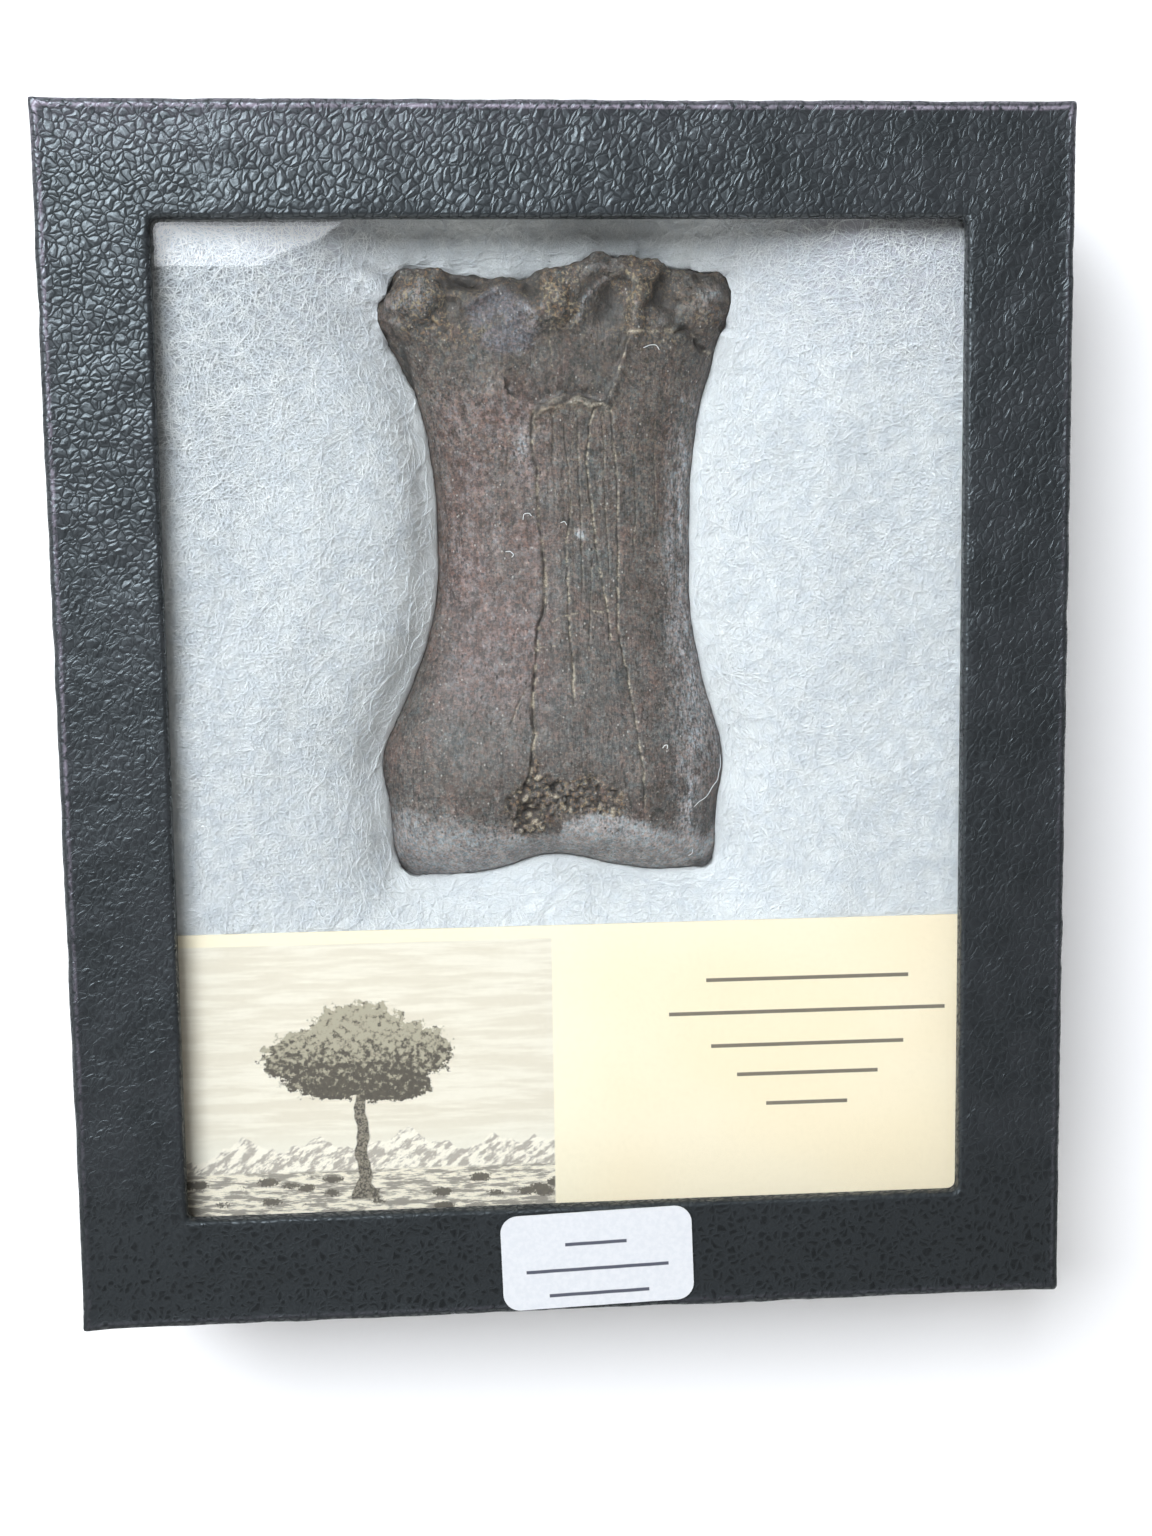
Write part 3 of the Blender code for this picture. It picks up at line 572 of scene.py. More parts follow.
def fossil_recipe():
    """Dark mineralised bone with sediment in its cracks, painted shade in its cracks and hollows, and painted
    highlights on its edges.
    """
    made = Recipe("fossil_bone")
    places = made.places()
    fill, red, pale = made.channels("stain_and_painted_highlight")
    facet = made.attribute("stain_and_painted_highlight", "Alpha")
    crumb, dark, joint = made.channels("wear_and_painted_light")
    tan = made.attribute("wear_and_painted_light", "Alpha")
    streaks = made.noise(made.mapped(places, (0.27, 1.7, 0.27)), 1.0, 3.0, 0.62)
    broad = made.noise(made.mapped(places, (1.1, 6.0, 1.1)), 1.0, 3.0, 0.6)
    speckle = made.noise(places, 0.30, 3.0, 0.75)
    mottle = made.noise(places, 1.3, 3.0, 0.65)
    clouds = made.noise(places, 5.0, 3.0, 0.6)
    hue = made.noise(made.mapped(places, (3.0, 6.0, 3.0), shift=(31.0, 7.0, 0.0)), 1.0, 2.0, 0.6)
    grain = made.add("ShaderNodeSeparateColor", {0: made.cells(places, 0.36, "F1", "Color")}).outputs
    # the main tones
    reddish = made.ramp(mottle, 0.38, 0.62, (0.135, 0.085, 0.073), (0.180, 0.142, 0.140))
    jointed = made.ramp(mottle, 0.35, 0.65, (0.235, 0.225, 0.215), (0.335, 0.33, 0.325))
    earth = made.ramp(mottle, 0.38, 0.62, (0.070, 0.056, 0.042), (0.185, 0.150, 0.108))
    colour = made.layers(
        made.ramp(clouds, 0.35, 0.65, (0.090, 0.074, 0.064), (0.126, 0.111, 0.101)),
        (made.rise(hue, 0.55, 0.70, 0.0, 0.7), (0.130, 0.090, 0.077)),
        (made.rise(hue, 0.45, 0.30, 0.0, 0.7), (0.084, 0.090, 0.088)),
        (made.times(red, 0.9), reddish),
        (joint, jointed),
        (facet, (0.165, 0.155, 0.172)),
        (made.times(tan, 0.85), earth),
        (made.times(pale, made.rise(streaks, 0.30, 0.54)), (0.40, 0.395, 0.405)),
    )
    # coloured grains, and darker and paler streaks and dots
    grainy = made.blend(grain[0], (1.28, 0.86, 0.72), (0.78, 1.02, 1.16))
    colour = made.blend(0.55, colour, made.blend(1.0, colour, grainy, "MULTIPLY"))
    shade = made.times(made.minus(streaks, 0.5), 1.5)
    for pattern, strength in ((speckle, 2.8), (broad, 1.2), (mottle, 1.3), (grain[1], 0.75)):
        shade = made.calc("MULTIPLY_ADD", made.minus(pattern, 0.5), strength, shade)
    even = made.rise(joint, 0.0, 1.0, 1.0, 0.6)
    shade = made.calc("MULTIPLY_ADD", shade, even, made.rise(joint, 0.0, 1.0, 0.84, 1.02))
    _, y, _ = made.parts(places)
    # the upper end is painted darker here, as shade where it slopes away from the light
    shade = made.times(made.calc("MAXIMUM", shade, 0.25), made.rise(y, 41.0, 51.0, 1.0, 0.74))
    glint = made.times(made.rise(speckle, 0.60, 0.70), made.rise(mottle, 0.38, 0.60, 0.15, 0.8))
    flecks = made.mapped(places, (0.85, 1.1, 0.85), shift=(5.0, 3.0, 0.0))
    flecks = made.rise(made.cells(flecks, 1.0, "F1"), 0.17, 0.08)
    flecks = made.times(flecks, made.rise(made.noise(places, 2.2, 2.0), 0.46, 0.56))
    pores = made.rise(made.cells(made.mapped(places, (0.8, 1.5, 0.8)), 1.0, "F1"), 0.20, 0.09)
    pores = made.times(pores, made.rise(mottle, 0.42, 0.55))
    # sediment, and last the dark value, which holds dark pits and, mostly, painted shade in cracks, hollows
    # and turned-away faces
    bead = made.rise(made.noise(places, 0.5, 2.0, 0.6), 0.36, 0.52)
    ochre = made.ramp(mottle, 0.42, 0.6, (0.22, 0.125, 0.062), (0.36, 0.28, 0.17))
    dots = made.rise(made.noise(places, 0.42, 2.0, 0.6), 0.52, 0.62)
    cream = made.ramp(speckle, 0.4, 0.62, (0.26, 0.205, 0.15), (0.58, 0.50, 0.39))
    colour = made.layers(
        made.scale(colour, shade),
        (glint, (0.36, 0.33, 0.30)),
        (made.times(flecks, 0.8), (0.46, 0.43, 0.40)),
        (made.times(pores, 0.75), (0.028, 0.022, 0.019)),
        (made.times(made.times(crumb, dots), 0.75), ochre),
        (made.times(fill, bead), cream),
        (dark, (0.022, 0.018, 0.016)),
    )
    rough = made.rise(speckle, 0.3, 0.7, 0.40, 0.60)
    rough = made.calc("ADD", rough, made.times(crumb, 0.2), clamp=True)
    relief = made.minus(made.plus(streaks, made.times(speckle, 0.8)), pores)
    made.finish(Specular_IOR_Level=0.5)
    return made.finish(Base_Color=colour, Roughness=rough, Normal=made.bump(relief, 0.11))


def batting_recipe():
    """Bluish-white polyester fibre, matted in all directions."""
    made = Recipe("polyester_fibre")
    places = made.places()
    clouds = made.noise(places, 5.0, 4.0, 0.6)
    strands = 0.0
    for turn in (10, 55, 100, 145):
        drawn = made.mapped(places, (1.5, 0.13, 0.4), math.radians(turn), (turn * 0.37, turn * 0.11, 0.0))
        strands = made.calc("MAXIMUM", strands, made.noise(drawn, 1.0, 3.0, 0.6, 0.6))
    colour = made.ramp(clouds, 0.3, 0.7, (0.93, 0.94, 0.965), (0.97, 0.975, 0.985))
    x, y, _ = made.parts(places)
    aside = made.rise(made.calc("ABSOLUTE", x), 14.0, 38.0, 0.05, 1.0)
    # near the window's top edge and towards the upper left the pad is painted purple-grey, as painted shade
    colour = made.layers(
        made.ramp(strands, 0.52, 0.70, made.scale(colour, 0.88), made.scale(colour, 1.02)),
        (made.times(aside, made.rise(y, 36.0, 60.0, 0.0, 0.8)), (0.52, 0.50, 0.57)),
        (made.times(made.rise(x, -22.0, -48.0), made.rise(y, 5.0, 50.0, 0.0, 0.9)), (0.50, 0.51, 0.54)),
    )
    made.finish(Specular_IOR_Level=0.1)
    return made.finish(Base_Color=colour, Roughness=0.95, Normal=made.bump(strands, 0.35))


def fibre_recipe():
    """Fine strands of the pad, some whiter than others."""
    made = Recipe("polyester_strand")
    tone = made.noise(made.places(), 1.7, 2.0)
    colour = made.ramp(tone, 0.32, 0.68, (0.86, 0.88, 0.92), (0.98, 0.98, 0.99))
    return made.finish(Base_Color=colour, Roughness=0.5, Specular_IOR_Level=0.4)


def leatherette_recipe():
    """Black pebbled covering whose grain changes round the border."""
    made = Recipe("leatherette")
    cover = made.attribute("cover", "Vector")
    slanted, smooth, _ = made.channels("grain")
    worn_and_painted_sheen = made.attribute("grain", "Alpha")
    wander = {"Vector": cover, "Scale": 0.6, "Detail": 1.0}
    wander = made.add("ShaderNodeTexNoise", wander, noise_dimensions="2D").outputs["Color"]
    wander = made.scale(made.vector("SUBTRACT", wander, (0.5, 0.5, 0.5)), 1.1)
    cover = made.vector("ADD", cover, wander)
    patterns = []
    for size, turn in (((1.15, 0.95, 1.0), 20), ((1.65, 0.92, 1.0), 62)):
        edge = made.cells(made.mapped(cover, size, math.radians(turn)), 1.0, space="2D")
        crease = made.times(made.rise(edge, 0.0, 0.12), 0.35)
        patterns.append(made.plus(crease, made.rise(edge, 0.0, 0.55, 0.0, 0.65)))
    height = made.blend(slanted, *patterns)
    small = made.noise(cover, 0.5, 2.0, 0.5, space="2D")
    merged = made.rise(made.noise(cover, 1.3, 1.0, space="2D"), 0.30, 0.60)
    folds = made.cells(made.mapped(cover, (4.6, 2.2, 1.0), math.radians(52)), 1.0, space="2D")
    for share in (
        made.calc("MULTIPLY_ADD", merged, 0.5, 0.5),
        made.rise(folds, 0.0, 0.05, 0.55, 1.0),
        made.rise(smooth, 0.0, 1.0, 1.0, 0.45),
    ):
        height = made.times(height, share)
    height = made.plus(height, made.times(small, 0.06))
    tint = made.noise(cover, 7.0, 1.0, space="2D")
    scuff_and_painted_sheen = made.times(worn_and_painted_sheen, made.rise(made.noise(cover, 0.8, 2.0, 0.7, space="2D"), 0.3, 0.6))
    # the creases are painted darker, as shade, and the scuff tint is wear and painted sheen on the ridge and
    # the top and left border
    colour = made.layers(
        made.ramp(tint, 0.35, 0.65, (0.017, 0.019, 0.021), (0.024, 0.026, 0.029)),
        (made.times(smooth, 0.85), (0.006, 0.0065, 0.007)),
        (made.rise(height, 0.35, 0.08, 0.0, 0.9), (0.003, 0.003, 0.004)),
        (scuff_and_painted_sheen, (0.34, 0.30, 0.37)),
    )
    rough = made.plus(made.rise(small, 0.3, 0.7, 0.27, 0.37), made.rise(height, 0.35, 0.08, 0.0, 0.45))
    made.finish(Specular_IOR_Level=0.6, Specular_Tint=(0.82, 0.95, 1.0))
    return made.finish(Base_Color=colour, Roughness=rough, Normal=made.bump(height, 0.075))


def board_recipe():
    """Black paper over cardboard, a little rubbed."""
    made = Recipe("tray_board")
    places = made.places()
    pulp = made.noise(made.mapped(places, (1.2, 0.5, 0.5)), 1.0, 4.0, 0.65)
    rub = made.noise(places, 14.0, 4.0, 0.6)
    colour = made.ramp(pulp, 0.35, 0.65, (0.018, 0.018, 0.020), (0.034, 0.033, 0.034))
    colour = made.blend(made.rise(rub, 0.58, 0.75, 0.0, 0.4), colour, (0.075, 0.070, 0.066))
    rough = made.rise(rub, 0.3, 0.7, 0.62, 0.78)
    return made.finish(Base_Color=colour, Roughness=rough, Normal=made.bump(pulp, 0.05))


def glass_recipe():
    """Clear pane that lets shadow and diffuse rays straight through."""
    made = Recipe("pane_glass")
    made.finish(Base_Color=(0.97, 0.99, 0.985), Roughness=0.015, IOR=1.5, Transmission_Weight=1.0)
    rays = made.add("ShaderNodeLightPath", {}).outputs
    lamp_ray = made.calc("MAXIMUM", rays["Is Shadow Ray"], rays["Is Diffuse Ray"])
    clear = made.add("ShaderNodeBsdfTransparent", {"Color": (0.95, 0.97, 0.965, 1.0)}).outputs[0]
    mixed = made.add("ShaderNodeMixShader", {0: lamp_ray, 1: made.shader.outputs[0], 2: clear}).outputs[0]
    made.links.new(mixed, made.nodes["Material Output"].inputs["Surface"])
    return made


def rule_mask(made, along, across, rules, width):
    """Draw plain ruled lines and give where their ink is."""
    ink = 0.0
    for centre_x, centre_y, length in rules:
        inside = []
        for value, centre, size in ((along, centre_x, length), (across, centre_y, width)):
            off = made.calc("ABSOLUTE", made.minus(value, centre))
            inside.append(made.rise(off, size / 2 + INK_BLUR, size / 2 - INK_BLUR))
        ink = made.calc("MAXIMUM", ink, made.times(*inside))
    return ink


def card_recipe():
    """Cream card with a printed landscape and ruled lines."""
    made = Recipe("card_stock")
    places = made.places()
    x, y, _ = made.parts(places)
    pulp = made.noise(places, 0.6, 3.0, 0.6)
    cloud = made.noise(made.mapped(places, (30.0, 20.0, 10.0)), 1.0, 2.0)
    in_x = made.rise(x, PICTURE_RIGHT + PICTURE_BLUR, PICTURE_RIGHT - PICTURE_BLUR)
    in_y = made.rise(y, PICTURE_TOP + PICTURE_BLUR, PICTURE_TOP - PICTURE_BLUR)
    ink = rule_mask(made, x, y, CARD_RULES, CARD_RULE_WIDTH)
    colour = made.layers(
        made.ramp(cloud, 0.3, 0.7, (0.95, 0.79, 0.57), (0.96, 0.82, 0.62)),
        (made.rise(x, 8.0, -4.0, 0.0, 0.5), (0.96, 0.87, 0.68)),
        (made.times(in_x, in_y), picture_colour(made, places, x, y)),
        (made.times(ink, 0.9), (0.10, 0.085, 0.07)),
        (made.rise(pulp, 0.4, 0.7, 0.0, 0.06), (0.5, 0.4, 0.25)),
    )
    return made.finish(Base_Color=colour, Roughness=0.6, Normal=made.bump(pulp, 0.01), Specular_IOR_Level=0.3)


def picture_colour(made, places, x, y):
    """Print a generic tree on a plain before far hills, in sepia ink."""
    fine = made.noise(places, 0.32, 3.0, 0.7)
    streak = made.noise(made.mapped(places, (9.0, 0.9, 1.0)), 1.0, 3.0, 0.6)
    along = made.add("ShaderNodeCombineXYZ", {0: x}).outputs[0]
    hill_top = made.calc("MULTIPLY_ADD", made.noise(along, 9.0, 4.0, 0.5), 13.0, -60.5)
    folds = made.noise(made.mapped(places, (1.6, 0.7, 1.0), math.radians(35)), 1.0, 3.0, 0.6)
    hills = made.ramp(folds, 0.42, 0.58, (0.46, 0.40, 0.35), (0.94, 0.85, 0.73))
    turf = made.noise(made.mapped(places, (2.6, 0.5, 1.0)), 1.0, 4.0, 0.65)
    plain = made.ramp(turf, 0.44, 0.58, (0.33, 0.29, 0.25), (0.90, 0.80, 0.66))
    tufts = made.cells(made.mapped(places, (4.6, 2.1, 1.0)), 1.0, "F1")
    tufts = made.rise(made.plus(tufts, made.times(made.minus(fine, 0.5), 0.5)), 0.34, 0.24)
    bark = made.ramp(fine, 0.4, 0.6, (0.07, 0.06, 0.05), (0.28, 0.24, 0.19))
    leaf_tone = made.plus(made.noise(places, 0.8, 3.0, 0.7), made.rise(y, -48.0, -37.0, -0.12, 0.12))
    foliage = made.ramp(leaf_tone, 0.42, 0.62, (0.085, 0.072, 0.058), (0.42, 0.37, 0.28))
    return made.layers(
        made.ramp(streak, 0.4, 0.65, (0.76, 0.67, 0.555), (0.86, 0.775, 0.66)),
        (made.rise(y, -50.0, -57.0), (0.87, 0.80, 0.69)),
        (made.rise(made.minus(hill_top, y), -0.1, 0.15), hills),
        (made.rise(y, PLAIN_LEVEL + 0.2, PLAIN_LEVEL - 0.2), plain),
        (made.times(tufts, made.rise(y, PLAIN_LEVEL, PLAIN_LEVEL - 1.0)), (0.13, 0.11, 0.09)),
        (bark_mask(made, places, x, y), bark),
        (leaf_mask(made, places, x, y), foliage),
    )


def bark_mask(made, places, x, y):
    """Give where the printed tree's trunk is."""
    trunk_x, foot, fork, half = TREE_TRUNK
    lean = made.times(made.minus(made.noise(places, 4.0), 0.5), 2.4)
    off = made.calc("ABSOLUTE", made.minus(made.minus(x, trunk_x), lean))
    girth = made.rise(y, foot + 2.5, foot, half * 0.75, half * 1.7)
    bark = made.rise(made.minus(girth, off), -0.12, 0.12)
    bark = made.times(bark, made.rise(y, foot - 0.3, foot + 0.3))
    return made.times(bark, made.rise(y, fork + 0.5, fork - 0.5))


def leaf_mask(made, places, x, y):
    """Give where the printed tree's leaves are."""
    edge = made.times(made.minus(made.noise(places, 1.2, 4.0, 0.7), 0.5), 1.1)
    crown = 9.0
    for centre_x, centre_y, half_x, half_y in TREE_CLUMPS:
        off_x = made.calc("DIVIDE", made.minus(x, centre_x), half_x)
        off_y = made.calc("DIVIDE", made.minus(y, centre_y), half_y)
        reach = made.calc("SQRT", made.plus(made.times(off_x, off_x), made.times(off_y, off_y)))
        crown = made.calc("MINIMUM", crown, reach)
    return made.rise(made.plus(crown, edge), 1.05, 0.95)


def sticker_recipe():
    """White coated paper with ruled lines."""
    made = Recipe("label_paper")
    places = made.places()
    turned = {"Vector": places, "Rotation": (0.0, 0.0, -STICKER_TURN)}
    x, y, _ = made.parts(made.add("ShaderNodeMapping", turned).outputs[0])
    pulp = made.noise(places, 0.7, 3.0, 0.6)
    colour = made.ramp(pulp, 0.35, 0.65, (0.61, 0.63, 0.655), (0.655, 0.67, 0.69))
    rules = []
    for centre_x, centre_y, length in STICKER_RULES:
        spot = Matrix.Rotation(-STICKER_TURN, 2) @ Vector((centre_x, centre_y))
        rules.append((spot.x, spot.y, length))
    ink = rule_mask(made, x, y, rules, STICKER_RULE_WIDTH)
    colour = made.blend(made.times(ink, 0.92), colour, (0.03, 0.035, 0.06))
    made.finish(Specular_IOR_Level=0.45)
    return made.finish(Base_Color=colour, Roughness=0.42, Normal=made.bump(pulp, 0.008))


def steel_recipe():
    """Polished pin steel with faint scratches."""
    made = Recipe("pin_steel")
    scratch = made.noise(made.mapped(made.places(), (0.05, 0.8, 0.8)), 1.0, 3.0, 0.6)
    colour = made.ramp(scratch, 0.4, 0.6, (0.50, 0.50, 0.51), (0.62, 0.62, 0.63))
    rough = made.rise(scratch, 0.3, 0.7, 0.18, 0.34)
    return made.finish(Base_Color=colour, Roughness=rough, Metallic=1.0, Normal=made.bump(scratch, 0.004))


def lid_loop(half_x, half_y, radius):
    """List a rounded rectangle's points: arcs joined by evenly spaced runs."""
    arcs = []
    for number, (side_x, side_y) in enumerate(((1, 1), (-1, 1), (-1, -1), (1, -1))):
        centre = Vector((side_x * (half_x - radius), side_y * (half_y - radius)))
        angles = [math.radians(90 * (number + step / (CORNER_STEPS - 1))) for step in range(CORNER_STEPS)]
        arcs.append([centre + radius * Vector((math.cos(a), math.sin(a))) for a in angles])
    points = []
    for number, arc in enumerate(arcs):
        points += arc
        after = arcs[(number + 1) % 4][0]
        columns = SHORT_COLUMNS if number % 2 == 0 else LONG_COLUMNS
        points += [arc[-1].lerp(after, step / columns) for step in range(1, columns)]
    return points


def lid_section():
    """List the covering's section as offsets out from the window and levels."""
    border = LID_HIGH.x - WINDOW_HALF[0]
    underside = CASE_FRONT - BOARD
    face = CASE_FRONT - FACE_SINK
    turns = [math.pi / 2 * step / ROLL_STEPS for step in range(ROLL_STEPS + 1)]
    steps = [(0.0, underside), (0.0, underside + 0.5 * (BOARD - WINDOW_ROLL))]
    for turn in turns:
        steps.append((WINDOW_ROLL * (1 - math.cos(turn)), face - WINDOW_ROLL * (1 - math.sin(turn))))
    ridge = border - RIM_ROLL
    for step in range(1, FACE_STEPS):
        run = (ridge - 0.45 - WINDOW_ROLL) * step / (FACE_STEPS - 1)
        steps.append((WINDOW_ROLL + run, face))
    steps.append((ridge - 0.15, CASE_FRONT - 0.02))
    for turn in turns:
        steps.append((ridge + RIM_ROLL * math.sin(turn), CASE_FRONT - RIM_ROLL * (1 - math.cos(turn))))
    low = LID_LOW.z
    top = CASE_FRONT - RIM_ROLL
    for step in range(1, SIDE_STEPS):
        steps.append((border, top + (low + 0.5 - top) * step / (SIDE_STEPS - 1)))
    inner = border - WALL
    steps += [(border - 0.15, low + 0.15), (border - 0.5, low), (inner + 0.1, low)]
    steps += [(inner, low + 0.2), (inner, 0.5 * (low + underside)), (inner, underside)]
    steps += [(0.66 * border, underside), (0.33 * border, underside)]
    return steps


def lid_shape():
    """Draw the covering round the border, one section row after another."""
    border_x = LID_HIGH.x - WINDOW_HALF[0]
    border_y = LID_HIGH.y - WINDOW_HALF[1]
    shape = bmesh.new()
    column = shape.verts.layers.int.new("column")
    cover = shape.verts.layers.float_vector.new("cover")
    first = lid_loop(*WINDOW_HALF, WINDOW_CORNER)
    made = bmesh.ops.create_circle(shape, segments=len(first), radius=1.0)
    for number, vert in enumerate(made["verts"]):
        vert[column] = number
    row = made["verts"]
    edges = list(shape.edges)
    reached = 0.0
    before = None
    for index, (offset, level) in enumerate(lid_section()):
        if index:
            grown = bmesh.ops.extrude_edge_only(shape, edges=edges)["geom"]
            row = [item for item in grown if isinstance(item, bmesh.types.BMVert)]
            edges = [item for item in grown if isinstance(item, bmesh.types.BMEdge)]
            reached += math.hypot(offset - before[0], level - before[1])
        before = (offset, level)
        share = offset / border_x
        half_x = WINDOW_HALF[0] + share * border_x
        half_y = WINDOW_HALF[1] + share * border_y
        radius = WINDOW_CORNER + share * (RIM_CORNER - WINDOW_CORNER)
        places = lid_loop(half_x, half_y, radius)
        spread = reached - BOARD
        unrolled = lid_loop(WINDOW_HALF[0] + spread, WINDOW_HALF[1] + spread, WINDOW_CORNER)
        for vert in row:
            spot = places[vert[column]]
            vert.co = Vector((spot.x, spot.y, level)) * MM
            vert[cover] = unrolled[vert[column]].to_3d()
    loops = [edge for edge in shape.edges if edge.is_boundary]
    bmesh.ops.bridge_loops(shape, edges=loops)
    bmesh.ops.recalc_face_normals(shape, faces=shape.faces)
    return shape


def build_lid():
    """Make the covered lid with its ridge, rolled window and grain, with wear and painted sheen on the ridge
    and border.
    """
    mesh = mesh_from("lid_cover", lid_shape())
    places = read_places(mesh)
    x, y, z = places.T
    outward = np.maximum(np.abs(x) - LID_HIGH.x, np.abs(y) - LID_HIGH.y)
    inward = np.maximum(WINDOW_HALF[0] - np.abs(x), WINDOW_HALF[1] - np.abs(y))
    on_front = smooth_step(CASE_FRONT - 2.2, CASE_FRONT - 1.0, z)
    near_window = smooth_step(-1.8, -0.6, inward) * on_front
    near_rim = smooth_step(-2.4, -1.0, outward) * on_front
    flat = np.stack([x, y, np.zeros_like(x)], axis=1)
    ripple = 0.10 * lumps(flat, 3.4, 11) + 0.07 * lumps(flat, 1.5, 12)
    normals = read_normals(mesh)
    places += normals * (ripple * near_window + 0.02 * lumps(flat, 5.0, 13) * near_rim)[:, None]
    for corner_x, corner_y, push in CORNER_DENTS:
        spot = np.array((corner_x * (LID_HIGH.x - 0.5), corner_y * (LID_HIGH.y - 0.5)))
        raised = smooth_step(CASE_FRONT - 6, CASE_FRONT - 1.0, z)
        near = bell(np.hypot(x - spot[0], y - spot[1]) / 1.7) * raised
        places[:, 0] += corner_x * push * near * 0.7
        places[:, 1] += corner_y * push * near * 0.7
        places[:, 2] += 0.2 * push * near
    for axis in (0, 1):
        places[:, axis] = np.clip(places[:, axis], LID_LOW[axis], LID_HIGH[axis])
    write_places(mesh, places)
    slanted = smooth_step(-46, -38, x) * smooth_step(55, 62, y)
    slanted = np.maximum(slanted, smooth_step(30, 8, y) * smooth_step(-48, -52, x) * 0.6)
    slanted = np.maximum(slanted, smooth_step(49, 52, x) * smooth_step(66, 56, y))
    smooth = smooth_step(-48, -68, y)
    smooth = np.maximum(smooth, 0.3 * smooth_step(45, 52, x) * smooth_step(40, -40, y))
    smooth = np.maximum(smooth, 0.2 * smooth_step(-45, -52, x) * smooth_step(0, -50, y))
    # the ridge line and the outer strip are painted lighter, as wear and as painted sheen that is strongest
    # on the top and left, where the light falls
    line = bell((outward + RIM_ROLL + 0.12) / 0.19) * on_front
    top_side = smooth_step(LID_HIGH.y - 3.0, LID_HIGH.y - 1.5, y)
    left_side = smooth_step(LID_LOW.x + 3.0, LID_LOW.x + 1.5, x)
    wear_and_painted_light = 0.08 + 1.0 * top_side + 0.6 * left_side * smooth_step(-70, 20, y)
    worn_and_painted_sheen = line * wear_and_painted_light * (0.75 + 0.35 * lumps(flat, 2.0, 14))
    strip = smooth_step(-0.8, -0.2, outward) * smooth_step(CASE_FRONT - 3.0, CASE_FRONT - 0.6, z)
    worn_and_painted_sheen = np.maximum(worn_and_painted_sheen, 0.26 * strip * smooth_step(60, 74, y))
    worn_and_painted_sheen = np.maximum(worn_and_painted_sheen, 0.10 * smooth_step(66, 76, y) * smooth_step(40, -60, x) * on_front)
    write_colour(mesh, "grain", (slanted, smooth, 0.0, np.clip(worn_and_painted_sheen, 0, 1)))
    return add_piece("lid_cover", mesh, leatherette_recipe(), ["lid"])


def scar_side(x, y):
    """Say how far inside the broken flake's edge each point is."""
    inside_y = y - curve_height(x, SCAR_EDGE)
    distance = line_distance(x, y, SCAR_EDGE)
    inside = (inside_y > 0) & (x > SCAR_EDGE[0][0]) & (x < SCAR_EDGE[-1][0]) & (y < 52)
    return np.where(inside, distance, -distance)


def refine_mesh(mesh, chosen):
    """Split the faces round a mesh's chosen vertices into four."""
    shape = shape_from(mesh)
    shape.verts.ensure_lookup_table()
    edges = [edge for edge in shape.edges if chosen[edge.verts[0].index] or chosen[edge.verts[1].index]]
    bmesh.ops.subdivide_edges(shape, edges=edges, cuts=1, use_grid_fill=True)
    shape.to_mesh(mesh)
    shape.free()


def detail_distance(places):
    """Give each point's distance to the nearest crack or broken edge."""
    x, y, _ = places.T
    nearest = np.full(len(x), np.inf)
    for line in [crack[0] for crack in CRACKS] + [SCAR_EDGE, TAN_STEP, RIGHT_LEDGE]:
        nearest = np.minimum(nearest, line_distance(x, y, line))
    for centre_x, centre_y, half_x, half_y in SPONGE:
        rim = np.hypot((x - centre_x) / half_x, (y - centre_y) / half_y) - 1
        nearest = np.minimum(nearest, np.maximum(rim * half_y, 0.5))
    return nearest


def build_fossil():
    """Carve the fine relief of the fossil into a copy of its solid."""
    mesh = voxel_mesh("fossil", merged_copy("phalanx"), BONE_VOXEL)
    places = read_places(mesh)
    facing = smooth_step(18.0, 23.0, places[:, 2])
    edge = smooth_step(1.6, 0.5, detail_distance(places)) * facing
    share = 0.5 * (1 - 0.85 * edge)
    relax(mesh, share, BONE_SMOOTHING)
    x, y, z = read_places(mesh).T
    far = bell(line_distance(x, y, SCAR_FAR_EDGE) / 2.2) * smooth_step(42.0, 45.0, y)
    relax(mesh, 0.5 * far * smooth_step(24.0, 27.0, z), 4 * BONE_SMOOTHING)
    for reach in (0.75, 0.30):
        facing = smooth_step(0.1, 0.4, read_normals(mesh)[:, 2])
        refine_mesh(mesh, (detail_distance(read_places(mesh)) < reach) & (facing > 0.3))
    carve(mesh)
    return add_piece("fossil", mesh, fossil_recipe(), ["phalanx"])


